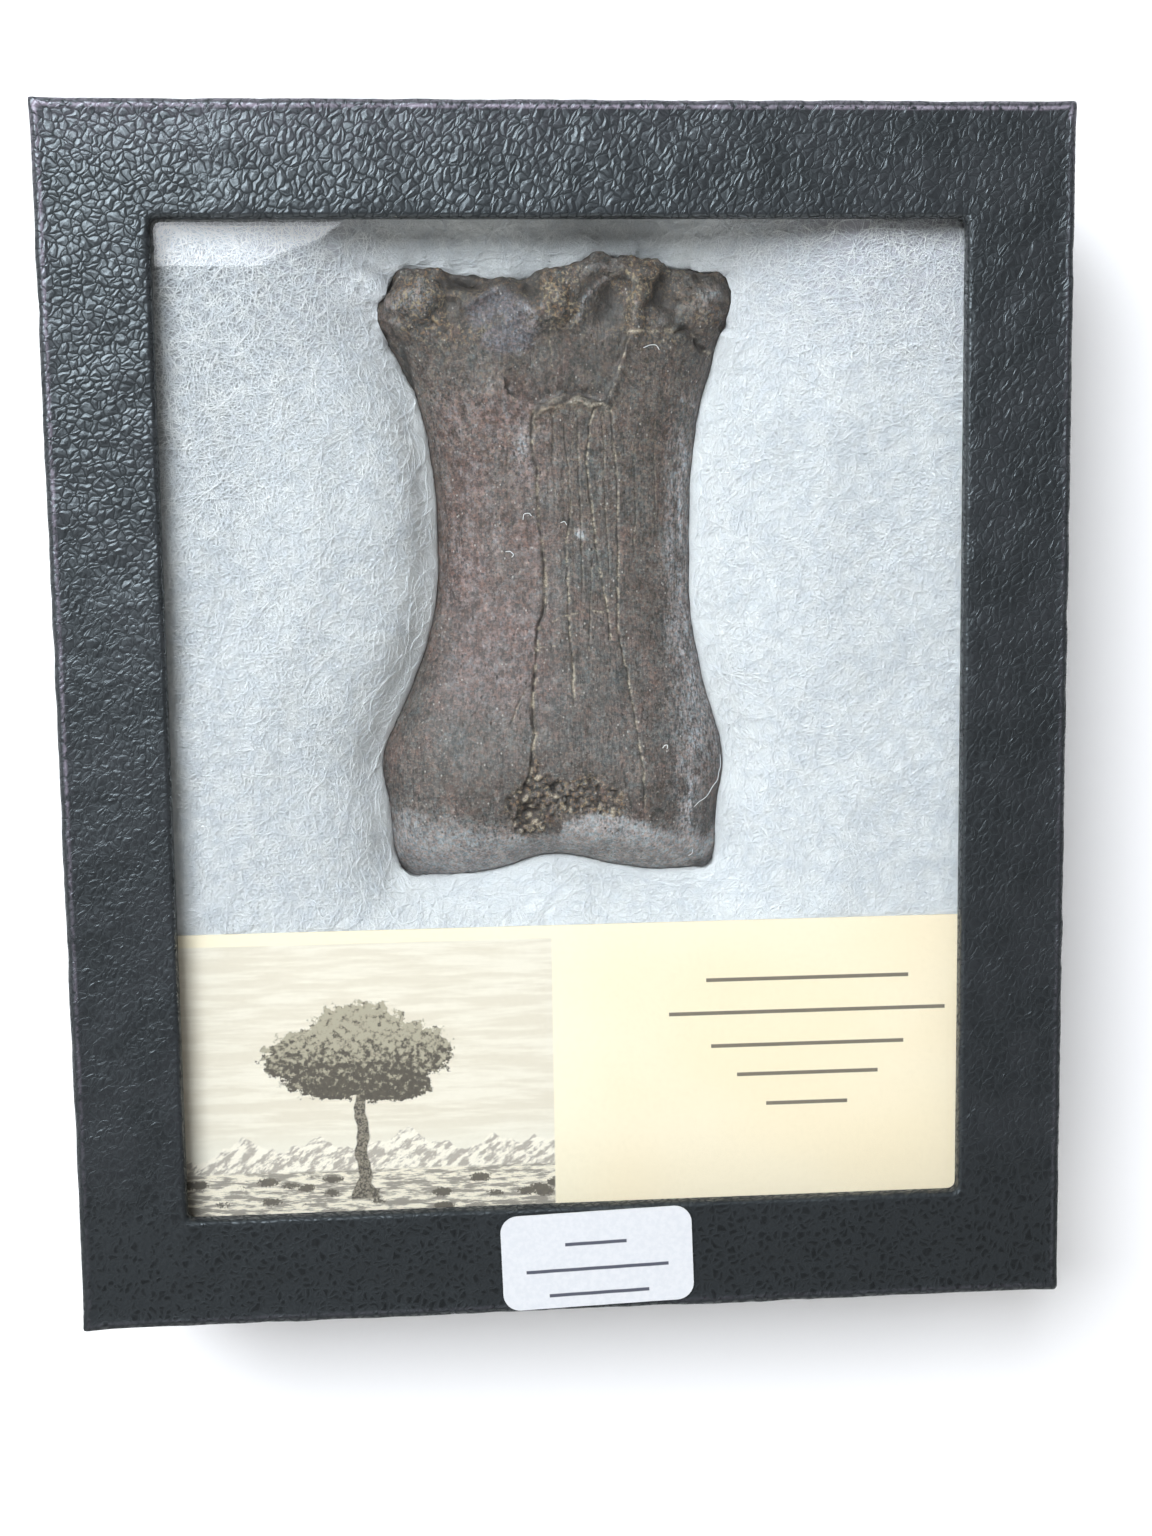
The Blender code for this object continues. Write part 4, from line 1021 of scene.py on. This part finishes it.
def carve(mesh):
    """Move the fossil's surface in and out, and note its stains, its painted shade and its painted
    highlights.
    """
    places = read_places(mesh)
    normals = read_normals(mesh)
    x, y, _ = places.T
    facing = smooth_step(0.1, 0.5, normals[:, 2])
    flat = np.stack([x, y, np.zeros_like(x)], axis=1)
    sway = 0.30 * lumps(flat, 1.6, 6) + 0.14 * lumps(flat, 0.6, 7)
    height, fill, dark = carve_cracks(x, y, sway, facing, flat)
    upper = smooth_step(46, 51, y + 1.2 * lumps(flat, 4.0, 8) - 1.5 * bell((x + 2.0) / 9.0))
    facet = smooth_step(2.2, 1.2, line_distance(x + 2 * sway, y + sway, LEFT_FACET)) * facing
    concave = facing * patch(x, y, 5.3, 52.2, 2.9, 2.8, 2)
    rough = upper * (1 - 0.9 * facet) * (1 - 0.4 * concave)
    height += 0.12 * lumps(places, 4.0, 1) + 0.06 * lumps(places, 1.6, 2)
    height += 0.05 * lumps(places, (0.9, 9.0, 3.0), 3) * (1 - upper)
    height += 0.03 * lumps(places, (0.45, 4.0, 2.0), 9) * (1 - upper)
    coarse = 0.42 * lumps(places, 2.2, 4) + 0.40 * lumps(places, 1.1, 5)
    height += rough * (coarse + 0.24 * lumps(places, 0.6, 10))
    for *oval, rise in UPPER_RELIEF:
        height += 1.3 * rise * patch(x + sway, y + sway, *oval) * facing
    rim = line_distance(x + sway, y + sway, LEFT_FACET_RIM)
    height += 0.35 * bell(rim / 0.5) * facing
    edge = line_distance(x + sway, y, RIGHT_FACET_EDGE)
    height += 0.25 * bell(edge / 0.45) * facing
    sponge = np.zeros(len(x))
    for centre_x, centre_y, half_x, half_y in SPONGE:
        apart = np.hypot((x + 2 * sway - centre_x) / half_x, (y + 2 * sway - centre_y) / half_y)
        sponge = np.maximum(sponge, smooth_step(1.05, 0.7, apart))
    sponge *= smooth_step(-0.5, 0.3, y - curve_height(x, JOINT_EDGE)) * facing
    grains = np.zeros(len(x))
    for number, size in enumerate(GRAIN_SIZES):
        grain = smooth_step(0.60, 0.25, nearest_seed(flat, size, 40 + number))
        grains = np.maximum(grains, grain * (1 - 0.3 * number))
    height += sponge * (0.60 * grains - 0.55)
    dark = np.maximum(dark, 0.9 * sponge * smooth_step(0.7, 0.2, grains))
    tops = sponge * smooth_step(0.7, 0.9, grains) * smooth_step(0.15, 0.5, lumps(flat, 0.8, 48))
    fill = np.maximum(fill, tops)
    deep = patch(x, y, -4.8, -12.8, 2.2, 1.5)
    dark = np.maximum(dark, 0.8 * deep * smooth_step(0.9, 0.3, grains))
    spot = patch(x, y, -1.9, -14.0, 0.9, 0.9, 2)
    height -= (0.7 * deep + 0.3 * spot) * facing
    dark = np.maximum(dark, 0.45 * spot)
    joint_side = curve_height(x, JOINT_EDGE) - y
    joint_side = joint_side + 0.5 * lumps(flat, 1.4, 33) + 0.3 * lumps(flat, 0.6, 39)
    # the joint's paler tone fades out far above its edge on the left, where it also stands in for painted
    # reflection haze
    soft = 0.5 + 3.5 * smooth_step(-6.0, -11.0, x)
    joint = smooth_step(-0.5 * soft, soft, joint_side) * (1 - 0.6 * spot)
    height -= 0.10 * bell(joint_side / 0.5) * facing
    corner = patch(x, y, 18.3, -13.2, 1.5, 2.6, 2)
    joint *= (0.85 + 0.25 * lumps(flat, 3.0, 34)) * (1 - corner)
    # painted reflection haze over the lower left of the joint
    reflection_haze = smooth_step(-5.0, -9.0, x) * smooth_step(-12.5, -15.0, y) * facing
    red = smooth_step(-19, -13, x) * smooth_step(1.0, -5.0, x)
    red = red * smooth_step(-2, 6, y) * smooth_step(46, 38, y)
    red *= np.clip(0.75 + 0.5 * lumps(flat, 4.0, 35), 0, 1)
    streak = line_distance(x + sway, y, FLANK_STREAK)
    pale = 0.95 * bell(streak / 1.7) * np.clip(0.55 + 0.8 * lumps(flat, (0.7, 3.0, 1.0), 36), 0, 1)
    flank = 0.5 * smooth_step(12.0, 17.0, x) * smooth_step(48, 20, y) * smooth_step(-12, 0, y)
    pale = np.maximum(pale, flank)
    # the gleam on the shaft and the pale line along the right facet's edge are painted highlights, and the
    # left facet's rim is painted paler at its right end; the rubbed mask only breaks these into pieces
    chip = bell(np.hypot(x - 2.0, y - 24.0) / 0.6)
    gleam = patch(x, y, -5.3, 35.2, 0.9, 2.2)
    along = line_distance(x, y, ((-4.2, 52.0), (-5.0, 42.0)))
    flecks = smooth_step(0.35, 0.7, lumps(flat, 0.9, 43)) * bell(along / 1.6)
    band = bell((joint_side - 1.6) / 1.5) * (0.3 + 0.7 * smooth_step(-2.0, 0.5, x))
    band = band * smooth_step(20.0, 18.0, x)
    pale = np.maximum(pale, 0.8 * band * np.clip(0.9 + 0.6 * lumps(flat, 1.6, 45), 0, 1))
    rubbed = np.clip(0.7 + 1.2 * lumps(flat, 0.7, 49), 0, 1)
    right_rim = bell(rim / 0.5) * smooth_step(-6.0, -4.4, x) * rubbed
    edge_highlight = bell(edge / 0.45) * facing * rubbed
    pale = np.maximum.reduce([pale, 1.3 * chip, 0.7 * gleam, edge_highlight, 0.9 * flecks, 0.7 * right_rim])
    crumb = rough * smooth_step(-0.45, 0.4, lumps(flat, 3.2, 37) + 0.15)
    crumb = np.maximum(crumb, np.minimum(1.5 * sponge, 1))
    crumb = np.maximum(crumb, 0.22 * smooth_step(0, 40, y))
    tan = tan_sediment(x, y, sway, facing, flat, upper)
    # painted shade on the faces of the top end that turn away from the front
    top_side = smooth_step(0.45, 0.05, normals[:, 2]) * smooth_step(52, 55, y)
    dark = np.maximum.reduce([dark, 0.7 * top_side, 0.35 * corner, *hollow_shades(x, y, sway)])
    # painted sheen on the lower half's sides, which turn away from the front
    rounded = smooth_step(0.55, 0.15, normals[:, 2]) * smooth_step(12.0, -2.0, y)
    pale = np.maximum.reduce([pale, 0.35 * reflection_haze, 0.35 * rounded])
    # the grooves by the outlines are painted dark, as shade
    for line, half, depth in RIM_GROOVES:
        groove = bell(line_distance(x + 0.5 * sway, y, line) / half)
        groove = groove * smooth_step(0.0, 0.3, normals[:, 2])
        height -= depth * groove
        dark = np.maximum(dark, 0.75 * groove)
    places[:, 1] -= 0.7 * smooth_step(55.2, 59.8, y)
    # painted shade in the hollows of the upper end's relief
    dark = np.maximum(dark, 0.8 * upper * smooth_step(0.0, -0.8, height) * (1 - 0.8 * facet))
    past_rim = smooth_step(0.0, 0.9, y - curve_height(x, LEFT_FACET_RIM))
    past_rim = past_rim * smooth_step(5.6, 4.4, np.abs(x + 8.0))
    dark = np.maximum(dark, 0.5 * upper * past_rim)
    # painted highlight on the upper end's mounds
    pale = np.maximum(pale, 0.5 * upper * smooth_step(0.35, 1.1, height))
    places += normals * height[:, None]
    write_places(mesh, places)
    write_colour(mesh, "stain_and_painted_highlight", np.clip((fill, red, pale, facet), 0, 1))
    write_colour(mesh, "wear_and_painted_light", np.clip((crumb, dark, joint, tan), 0, 1))


def tan_sediment(x, y, sway, facing, flat, upper):
    """Give how tan each point of the upper end and of the thin step is."""
    long_streak = line_distance(x + sway, y, ((-1.9, 55.3), (-1.0, 53.4), (0.0, 51.0)))
    short_streak = line_distance(x + sway, y, ((9.8, 55.5), (8.2, 50.0)))
    tan = np.maximum(upper * bell(long_streak / 1.3), upper * bell(short_streak / 0.7))
    for *oval, strength in TAN_SPOTS:
        tan = np.maximum(tan, strength * upper * patch(x, y, *oval))
    step = line_distance(x + sway, y + sway, TAN_STEP)
    tan = np.maximum(tan, 0.6 * bell(step / 0.8) * facing)
    return np.clip(tan * (0.85 + 0.6 * lumps(flat, 1.3, 44)), 0, 1)


def hollow_shades(x, y, sway):
    """List the painted shade of the hollows and the furrows of the upper end, and the painted shadow under
    the right lump's rim.
    """
    under = bell(line_distance(x, y + sway, UNDER_RIM) / 0.55)
    valley = bell(line_distance(x + sway, y, ((14.2, 56.0), (13.4, 50.5))) / 0.8)
    gap = bell(line_distance(x + sway, y, ((-14.6, 55.8), (-14.8, 52.8))) / 0.6)
    shades = [strength * patch(x, y, *oval) for *oval, strength in DARK_HOLLOWS]
    return shades + [0.75 * under, 0.3 * valley, 0.5 * gap]


def carve_cracks(x, y, sway, facing, flat):
    """Give the height, sediment and painted shade of the cracks and broken edges, and their painted
    highlights.
    """
    height = np.zeros(len(x))
    fill = np.zeros(len(x))
    dark = np.zeros(len(x))
    for number, (line, depth, half, sediment) in enumerate(CRACKS):
        distance = line_distance(x + 0.4 * sway, y, line)
        open_share = np.clip(0.85 + 0.5 * lumps(flat, 2.4, 20 + number), 0.2, 1.0)
        groove = bell(distance / half) * facing
        height -= depth * groove * open_share
        beads = np.clip(0.60 + 1.3 * lumps(flat, (0.6, 0.55, 1.0), 60 + number), 0, 1)
        fill = np.maximum(fill, sediment * bell(distance / half) * facing * beads)
        # a painted shadow lies along one side of each crack
        shadow = line_distance(x + 0.4 * sway + 0.12, y, line)
        strength = min(0.95, 0.2 + 4 * depth)
        shade = strength * bell(shadow / (half * 1.3)) * facing * open_share
        dark = np.maximum(dark, shade * (1 - 0.75 * beads))
    side = scar_side(x + sway, y + sway)
    height += 0.55 * bell(side / 0.9) * np.tanh(-side / 0.14) * facing
    lower = smooth_step(43.5, 41.5, y)
    # painted shadow just inside the flake's edge, and painted shade on the flake's floor
    dark = np.maximum(dark, (0.5 + 0.5 * lower) * bell((side - 0.22) / 0.30) * facing)
    dark = np.maximum(dark, 0.22 * smooth_step(0.2, 1.2, side) * smooth_step(50.0, 46.0, y) * facing)
    # the lip below the flake's edge is painted pale, partly sediment and partly painted highlight where it
    # faces the light; the rubbed mask only breaks it into pieces
    rubbed = np.clip(0.35 + 1.2 * lumps(flat, 0.8, 46), 0.0, 1)
    fill = np.maximum(fill, (0.8 - 0.5 * lower) * bell((side + 0.18) / 0.2) * facing * rubbed)
    step = line_distance(x + sway, y + sway, TAN_STEP)
    fill = np.maximum(fill, 0.6 * bell(step / 0.20) * facing * smooth_step(-0.5, 0.2, lumps(flat, 1.4, 47)))
    height += 0.12 * bell(step / 0.35) * facing
    # painted shadow just above the thin step
    above = smooth_step(-0.1, 0.2, y + sway - curve_height(x, TAN_STEP))
    dark = np.maximum(dark, 0.8 * bell((step - 0.36) / 0.2) * facing * above)
    ledge = line_distance(x + sway, y + sway, RIGHT_LEDGE)
    wide = 0.28 + 0.22 * smooth_step(13.0, 17.0, x)
    pits = smooth_step(-0.35, 0.25, lumps(flat, 1.0, 32)) * smooth_step(10.5, 15.5, x)
    height -= (0.15 + 0.45 * pits) * bell(ledge / wide) * facing
    # the right ledge's pale bar is sediment crumbs and painted highlight, and its pits are dark
    crumbs_and_highlight = smooth_step(-0.1, 0.4, lumps(flat, 0.7, 31) + 0.5 * smooth_step(12.0, 10.0, x))
    fill = np.maximum(fill, 0.9 * bell(ledge / 0.24) * facing * crumbs_and_highlight)
    dark = np.maximum(dark, 0.85 * bell(ledge / wide) * facing * pits * (1 - crumbs_and_highlight))
    return height, fill, dark


def fossil_outline(fossil):
    """Index the fossil's places above the pad's lowest contact, seen from the front."""
    points = read_places(fossil.data)
    points = points[points[:, 2] > PAD_HUG_LEVEL]
    tree = KDTree(len(points))
    for number, (x, y, _) in enumerate(points):
        tree.insert((x, y, 0.0), number)
    tree.balance()
    return tree, points


def nearest_outline(places, outline):
    """Give each place's distance to the fossil's outline and the outline's level there."""
    tree, points = outline
    near = [tree.find_n((x, y, 0.0), PAD_NEIGHBOURS) for x, y in places[:, :2]]
    distance = np.array([found[0][2] for found in near])
    level = np.array([np.mean([points[item[1], 2] for item in found]) for found in near])
    return distance, level


def slope_in(places, outline):
    """Shape the pad's surface into one smooth slope round the fossil."""
    distance, widest = nearest_outline(places, outline)
    open_side = smooth_step(0.22, 0.30, distance) * smooth_step(13.0, 16.0, places[:, 2])
    open_side *= smooth_step(16.0, 12.0, distance) * smooth_step(-28.0, -24.0, places[:, 1])
    profile = curve_height(distance, PAD_PROFILE)
    profile += 0.10 * lumps(places * (1, 1, 0), 3.0, 55)
    at_top = smooth_step(44.0, 52.0, places[:, 1])
    contact = np.clip(widest, 17.0, 25.0) * (1 - at_top) + PAD_TOP_LEVEL * at_top + PAD_RISE
    profile = np.maximum(profile, contact * at_top)
    level = contact + (profile - contact) * smooth_step(-0.6, 2.2, distance)
    places[:, 2] += (level - places[:, 2]) * open_side


def draw_in(places, fossil, outline):
    """Draw the pad's edge against the fossil."""
    distance, _ = nearest_outline(places, outline)
    open_side = smooth_step(0.15, 0.25, distance) * smooth_step(15.0, 17.0, places[:, 2])
    skin = BVHTree.FromPolygons(*plain_mesh(fossil))
    limit = 1.8 + 1.8 * smooth_step(44.0, 49.0, places[:, 1])
    for index in np.flatnonzero((distance < limit) & (open_side > 0)):
        spot = skin.find_nearest(Vector(places[index]) * MM)[0] / MM
        reach = Vector(places[index]) - spot
        gap = max(reach.length - PAD_CLEARANCE, 0.0)
        share = open_side[index] * float(smooth_step(1.0, 0.5, distance[index] / limit[index]))
        overlap = PAD_OVERLAP + PAD_TOP_OVERLAP * float(smooth_step(44.0, 49.0, places[index][1]))
        places[index] -= np.array(reach.normalized()) * share * min(gap, distance[index] + overlap)


def build_batting(fossil):
    """Make the soft pad, puffed up against the pane and the card."""
    outline = fossil_outline(fossil)
    mesh = voxel_mesh("batting_pad", merged_copy("batting"), PAD_VOXEL)
    relax(mesh, np.full(len(mesh.vertices), 0.5), 8)
    places = read_places(mesh)
    slope_in(places, outline)
    write_places(mesh, places)
    mesh = voxel_mesh("batting_pad", shape_from(mesh), PAD_VOXEL)
    relax(mesh, np.full(len(mesh.vertices), 0.5), 12)
    places = read_places(mesh)
    normals = read_normals(mesh)
    puff = 0.25 * lumps(places, 8.0, 51) + 0.08 * lumps(places, 3.5, 52) + 0.05 * lumps(places, 1.8, 53)
    puff += 0.20 * smooth_step(0.6, 1.0, normals[:, 2])
    places += normals * puff[:, None]
    ceiling = np.where(places[:, 1] < CARD_HIGH.y + 0.6, CARD_LOW.z - 0.1, GLASS_LOW.z - 0.15)
    places[:, 2] = np.clip(places[:, 2], PAD_LOW.z - 0.2, ceiling)
    for axis in (0, 1):
        places[:, axis] = np.clip(places[:, axis], PAD_LOW[axis] - 0.2, PAD_HIGH[axis] + 0.2)
    draw_in(places, fossil, outline)
    write_places(mesh, places)
    pad = add_piece("batting_pad", mesh, batting_recipe(), ["batting"])
    return pad


def level_under(tree, x, y):
    """Read a surface's level at a place, or the pad's lowest level beside it."""
    spot = tree.ray_cast(Vector((x * MM, y * MM, RAY_START)), Vector((0, 0, -1)))[0]
    return PAD_LOW.z if spot is None else spot.z / MM


def height_grid(pad, fossil):
    """Read the pad's level on a grid, and where the fossil covers it."""
    (low_x, low_y), (high_x, high_y) = FIBRE_FIELD
    columns = np.arange(low_x - 10, high_x + 10, GRID_STEP)
    rows = np.arange(low_y - 10, high_y + 10, GRID_STEP)
    trees = [BVHTree.FromPolygons(*plain_mesh(item)) for item in (pad, fossil)]
    levels = np.zeros((2, len(columns), len(rows)))
    for i, x in enumerate(columns):
        for j, y in enumerate(rows):
            for number, tree in enumerate(trees):
                levels[number, i, j] = level_under(tree, x, y)
    covered = (levels[1] > levels[0]).astype(float)
    for axis in (0, 1):
        covered = (np.roll(covered, 1, axis) + covered + np.roll(covered, -1, axis)) / 3
    return columns[0], rows[0], np.concatenate([levels, covered[None]])


def plain_mesh(item):
    """List an object's points and faces for ray casting."""
    return [vert.co[:] for vert in item.data.vertices], [face.vertices[:] for face in item.data.polygons]


def sample(grid, x, y, number):
    """Read a level between the grid's points."""
    start_x, start_y, levels = grid
    across = np.clip((x - start_x) / GRID_STEP, 0, levels.shape[1] - 1.001)
    along = np.clip((y - start_y) / GRID_STEP, 0, levels.shape[2] - 1.001)
    i, j = across.astype(int), along.astype(int)
    u, v = across - i, along - j
    field = levels[number]
    low = field[i, j] * (1 - u) + field[i + 1, j] * u
    high = field[i, j + 1] * (1 - u) + field[i + 1, j + 1] * u
    return low * (1 - v) + high * v


def fibre_paths(random, grid, count):
    """Let curly strands wander over the pad's surface."""
    (low_x, low_y), (high_x, high_y) = FIBRE_FIELD
    start = random.uniform((low_x, low_y), (high_x, high_y), (count, 2))
    bend = random.normal(0.0, 0.20, (count, 1)) + random.normal(0.0, 0.30, (count, FIBRE_POINTS))
    bend[:, 1:] = 0.5 * (bend[:, 1:] + bend[:, :-1])
    heading = random.uniform(0, 2 * math.pi, (count, 1)) + np.cumsum(bend, axis=1)
    x = start[:, :1] + FIBRE_STEP * np.cumsum(np.cos(heading), axis=1)
    y = start[:, 1:] + FIBRE_STEP * np.cumsum(np.sin(heading), axis=1)
    lift = random.uniform(0.0, 0.45, (count, 1))
    drift = random.normal(0, 0.35, (count, FIBRE_POINTS))
    lift = lift + 0.12 * np.cumsum(drift, axis=1)
    pad_level = sample(grid, x, y, 0)
    bone_level = sample(grid, x, y, 1)
    ceiling = np.where(y < CARD_HIGH.y + 0.3, CARD_LOW.z - 0.08, GLASS_LOW.z - 0.08)
    level = np.minimum(np.maximum(pad_level, bone_level) + np.clip(lift, 0.03, 1.2), ceiling)
    clear = np.all(sample(grid, x, y, 2) < 0.35, axis=1)
    inside = np.all((np.abs(x) < PAD_HIGH.x) & (np.abs(y) < PAD_HIGH.y), axis=1)
    return np.stack([x, y, level], axis=2)[clear & inside]


def strand_mesh(name, paths, radius):
    """Give each path a thin three-sided tube, all joined in one mesh."""
    strands, points, _ = paths.shape
    run = np.gradient(paths, axis=1)
    run /= np.linalg.norm(run, axis=2, keepdims=True)
    across = np.cross(run, (0.0, 0.0, 1.0))
    across /= np.linalg.norm(across, axis=2, keepdims=True)
    upward = np.cross(across, run)
    taper = np.ones(points)
    taper[[0, -1]] = 0.35
    corners = []
    for step in range(3):
        angle = 2 * math.pi * (step + 0.25) / 3
        offset = across * math.cos(angle) + upward * math.sin(angle)
        corners.append(paths + offset * (radius * taper)[None, :, None])
    verts = np.stack(corners, axis=2).reshape(-1, 3) * MM
    base = (np.arange(strands)[:, None] * points + np.arange(points - 1)[None, :]) * 3
    faces = []
    for step in range(3):
        after = (step + 1) % 3
        side = [base + step, base + after, base + 3 + after, base + 3 + step]
        faces.append(np.stack(side, axis=2).reshape(-1, 4))
    caps_low = np.arange(strands)[:, None] * points * 3 + np.array((2, 1, 0))
    caps_high = (np.arange(strands)[:, None] * points + points - 1) * 3 + np.array((0, 1, 2))
    mesh = bpy.data.meshes.new(name)
    polygons = np.concatenate(faces).tolist() + caps_low.tolist() + caps_high.tolist()
    mesh.from_pydata(verts.tolist(), [], polygons)
    return mesh


def build_fibres(pad, fossil):
    """Lay the fine strands over the pad, in a few joined pieces."""
    random = np.random.default_rng(6)
    grid = height_grid(pad, fossil)
    recipe = fibre_recipe()
    for number in range(1, FIBRE_PIECES + 1):
        paths = fibre_paths(random, grid, 2 * FIBRES_EACH)[:FIBRES_EACH]
        mesh = strand_mesh(f"batting_strands_{number}", paths, FIBRE_RADIUS)
        add_piece(mesh.name, mesh, recipe)


def build_lint(fossil):
    """Lay a few stray hairs on the fossil."""
    tree = BVHTree.FromPolygons(*plain_mesh(fossil))
    recipe = fibre_recipe()
    for number, line in enumerate(LINT, start=1):
        steps = np.linspace(0, len(line) - 1, LINT_POINTS)
        x = np.interp(steps, range(len(line)), [place[0] for place in line])
        y = np.interp(steps, range(len(line)), [place[1] for place in line])
        for _ in range(3):
            x[1:-1] = (x[:-2] + x[1:-1] + x[2:]) / 3
            y[1:-1] = (y[:-2] + y[1:-1] + y[2:]) / 3
        level = [level_under(tree, u, v) for u, v in zip(x, y)]
        path = np.stack([x, y, np.array(level) + LINT_LIFT], axis=1)[None]
        mesh = strand_mesh(f"lint_{number}", path, LINT_RADIUS)
        add_piece(mesh.name, mesh, recipe)


def build_sticker():
    """Make the rounded paper label, its corners a little lifted."""
    half_x, half_y = STICKER_SIZE[0] / 2, STICKER_SIZE[1] / 2
    shape = bmesh.new()
    bmesh.ops.create_cube(shape, size=1.0)
    bmesh.ops.scale(shape, vec=(STICKER_SIZE[0], STICKER_SIZE[1], STICKER_THICKNESS), verts=shape.verts)
    upright = [edge for edge in shape.edges if abs(edge.verts[0].co.z - edge.verts[1].co.z) > 0.01]
    bevel = {"offset_type": "OFFSET", "affect": "EDGES", "segments": 8, "profile": 0.5, "material": -1}
    bmesh.ops.bevel(shape, geom=upright, offset=STICKER_CORNER, **bevel)
    for axis, half in ((0, half_x), (1, half_y)):
        for step in np.arange(-half + 0.8, half - 0.4, 0.8):
            place, normal = Vector(), Vector()
            place[axis] = step
            normal[axis] = 1.0
            everything = shape.verts[:] + shape.edges[:] + shape.faces[:]
            bmesh.ops.bisect_plane(shape, geom=everything, dist=1e-5, plane_co=place, plane_no=normal)
    middle = (STICKER_LOW + STICKER_HIGH) / 2
    for vert in shape.verts:
        u, v = abs(vert.co.x) / half_x, abs(vert.co.y) / half_y
        vert.co.z += 0.12 * max(u + v - 1.25, 0.0) ** 2
        vert.co.z += 0.02 * math.sin(1.3 * vert.co.x + 0.7 * vert.co.y)
    bmesh.ops.rotate(shape, cent=(0, 0, 0), matrix=Matrix.Rotation(STICKER_TURN, 3, "Z"), verts=shape.verts)
    level = CASE_FRONT + STICKER_GAP + STICKER_THICKNESS / 2
    bmesh.ops.translate(shape, vec=(middle.x, middle.y, level), verts=shape.verts)
    bmesh.ops.scale(shape, vec=(MM, MM, MM), verts=shape.verts)
    mesh = mesh_from("label", shape)
    label = add_piece("label", mesh, sticker_recipe(), ["sticker"])
    mesh.set_sharp_from_angle(angle=math.radians(40))
    return label


def finish_nodes():
    """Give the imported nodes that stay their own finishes."""
    steel = steel_recipe()
    kept = {"tray": board_recipe(), "glass": glass_recipe(), "card": card_recipe()}
    kept.update({f"pin_{number}": steel for number in range(1, 5)})
    for name, recipe in kept.items():
        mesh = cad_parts[name].data
        mesh.materials.clear()
        mesh.materials.append(recipe.owner)


def add_camera():
    """Set the camera where the photograph was taken from."""
    data = bpy.data.cameras.new("camera")
    data.lens = CAMERA_LENS
    data.clip_start = 0.01
    camera = place_object("camera", data)
    back = (CAMERA_PLACE - CAMERA_TARGET).normalized()
    top = Vector((math.sin(CAMERA_ROLL), math.cos(CAMERA_ROLL), 0.0))
    right = top.cross(back).normalized()
    turn = Matrix((right, back.cross(right), back)).transposed()
    camera.matrix_world = Matrix.Translation(CAMERA_PLACE) @ turn.to_4x4()
    bpy.context.scene.camera = camera


def add_floor():
    """Lay a plain near-white floor under the case."""
    shape = bmesh.new()
    bmesh.ops.create_grid(shape, x_segments=1, y_segments=1, size=6.0)
    bmesh.ops.translate(shape, vec=(0, 0, -0.02 * MM), verts=shape.verts)
    mesh = mesh_from("floor", shape)
    recipe = Recipe("floor")
    recipe.finish(Base_Color=(0.95, 0.95, 0.95), Roughness=0.9, Specular_IOR_Level=0.1)
    mesh.materials.append(recipe.owner)
    floor = place_object("floor", mesh)


def add_panel():
    """Hang a soft glowing panel over the case's upper left."""
    shape = bmesh.new()
    corners = [shape.verts.new(Vector((x, y, PANEL_LEVEL)) * MM) for x, y in PANEL_OUTLINE]
    shape.faces.new(corners)
    mesh = mesh_from("panel", shape)
    recipe = Recipe("panel_glow")
    x, y, _ = recipe.parts(recipe.places())
    right, low = PANEL_OUTLINE[4][0], PANEL_OUTLINE[0][1]
    fade_x = recipe.rise(x, right, right - PANEL_FADE[0])
    fade_y = recipe.rise(y, low, low + PANEL_FADE[1])
    fade = recipe.times(fade_x, fade_y)
    glow = recipe.rise(fade, 0.0, 1.0, PANEL_EDGE_GLOW * PANEL_GLOW, PANEL_GLOW)
    light = recipe.add("ShaderNodeEmission", {"Color": (*PANEL_TINT, 1.0), "Strength": glow})
    recipe.links.new(light.outputs[0], recipe.nodes["Material Output"].inputs["Surface"])
    mesh.materials.append(recipe.owner)
    panel = place_object("panel", mesh)
    panel.visible_camera = False


def add_sky():
    """Surround the case with a dim sky, paler low down and in front."""
    sky = Recipe("sky", "worlds", "Background")
    place = sky.add("ShaderNodeTexCoord", {}).outputs["Generated"]
    right, _, up = sky.parts(place)
    towards = sky.add("ShaderNodeVectorMath", {0: place, 1: FRONT_DIRECTION}, operation="DOT_PRODUCT")
    upper = sky.rise(up, 0.35, 0.80, SKY_LOW, SKY_HIGH)
    aside = sky.rise(right, -0.1, 0.9, 1.0, SKY_RIGHT)
    front = sky.rise(towards.outputs["Value"], 0.75, 0.97, 0.0, FRONT_GLOW)
    sky.finish(Color=SKY_TINT, Strength=sky.calc("MULTIPLY_ADD", upper, aside, front))
    bpy.context.scene.world = sky.owner


def main():
    """Build the looks of every piece and the studio."""
    bpy.context.scene.view_settings.view_transform = "Standard"
    add_camera()
    add_floor()
    add_panel()
    add_sky()
    finish_nodes()
    build_lid()
    build_sticker()
    fossil = build_fossil()
    pad = build_batting(fossil)
    build_fibres(pad, fossil)
    build_lint(fossil)


main()
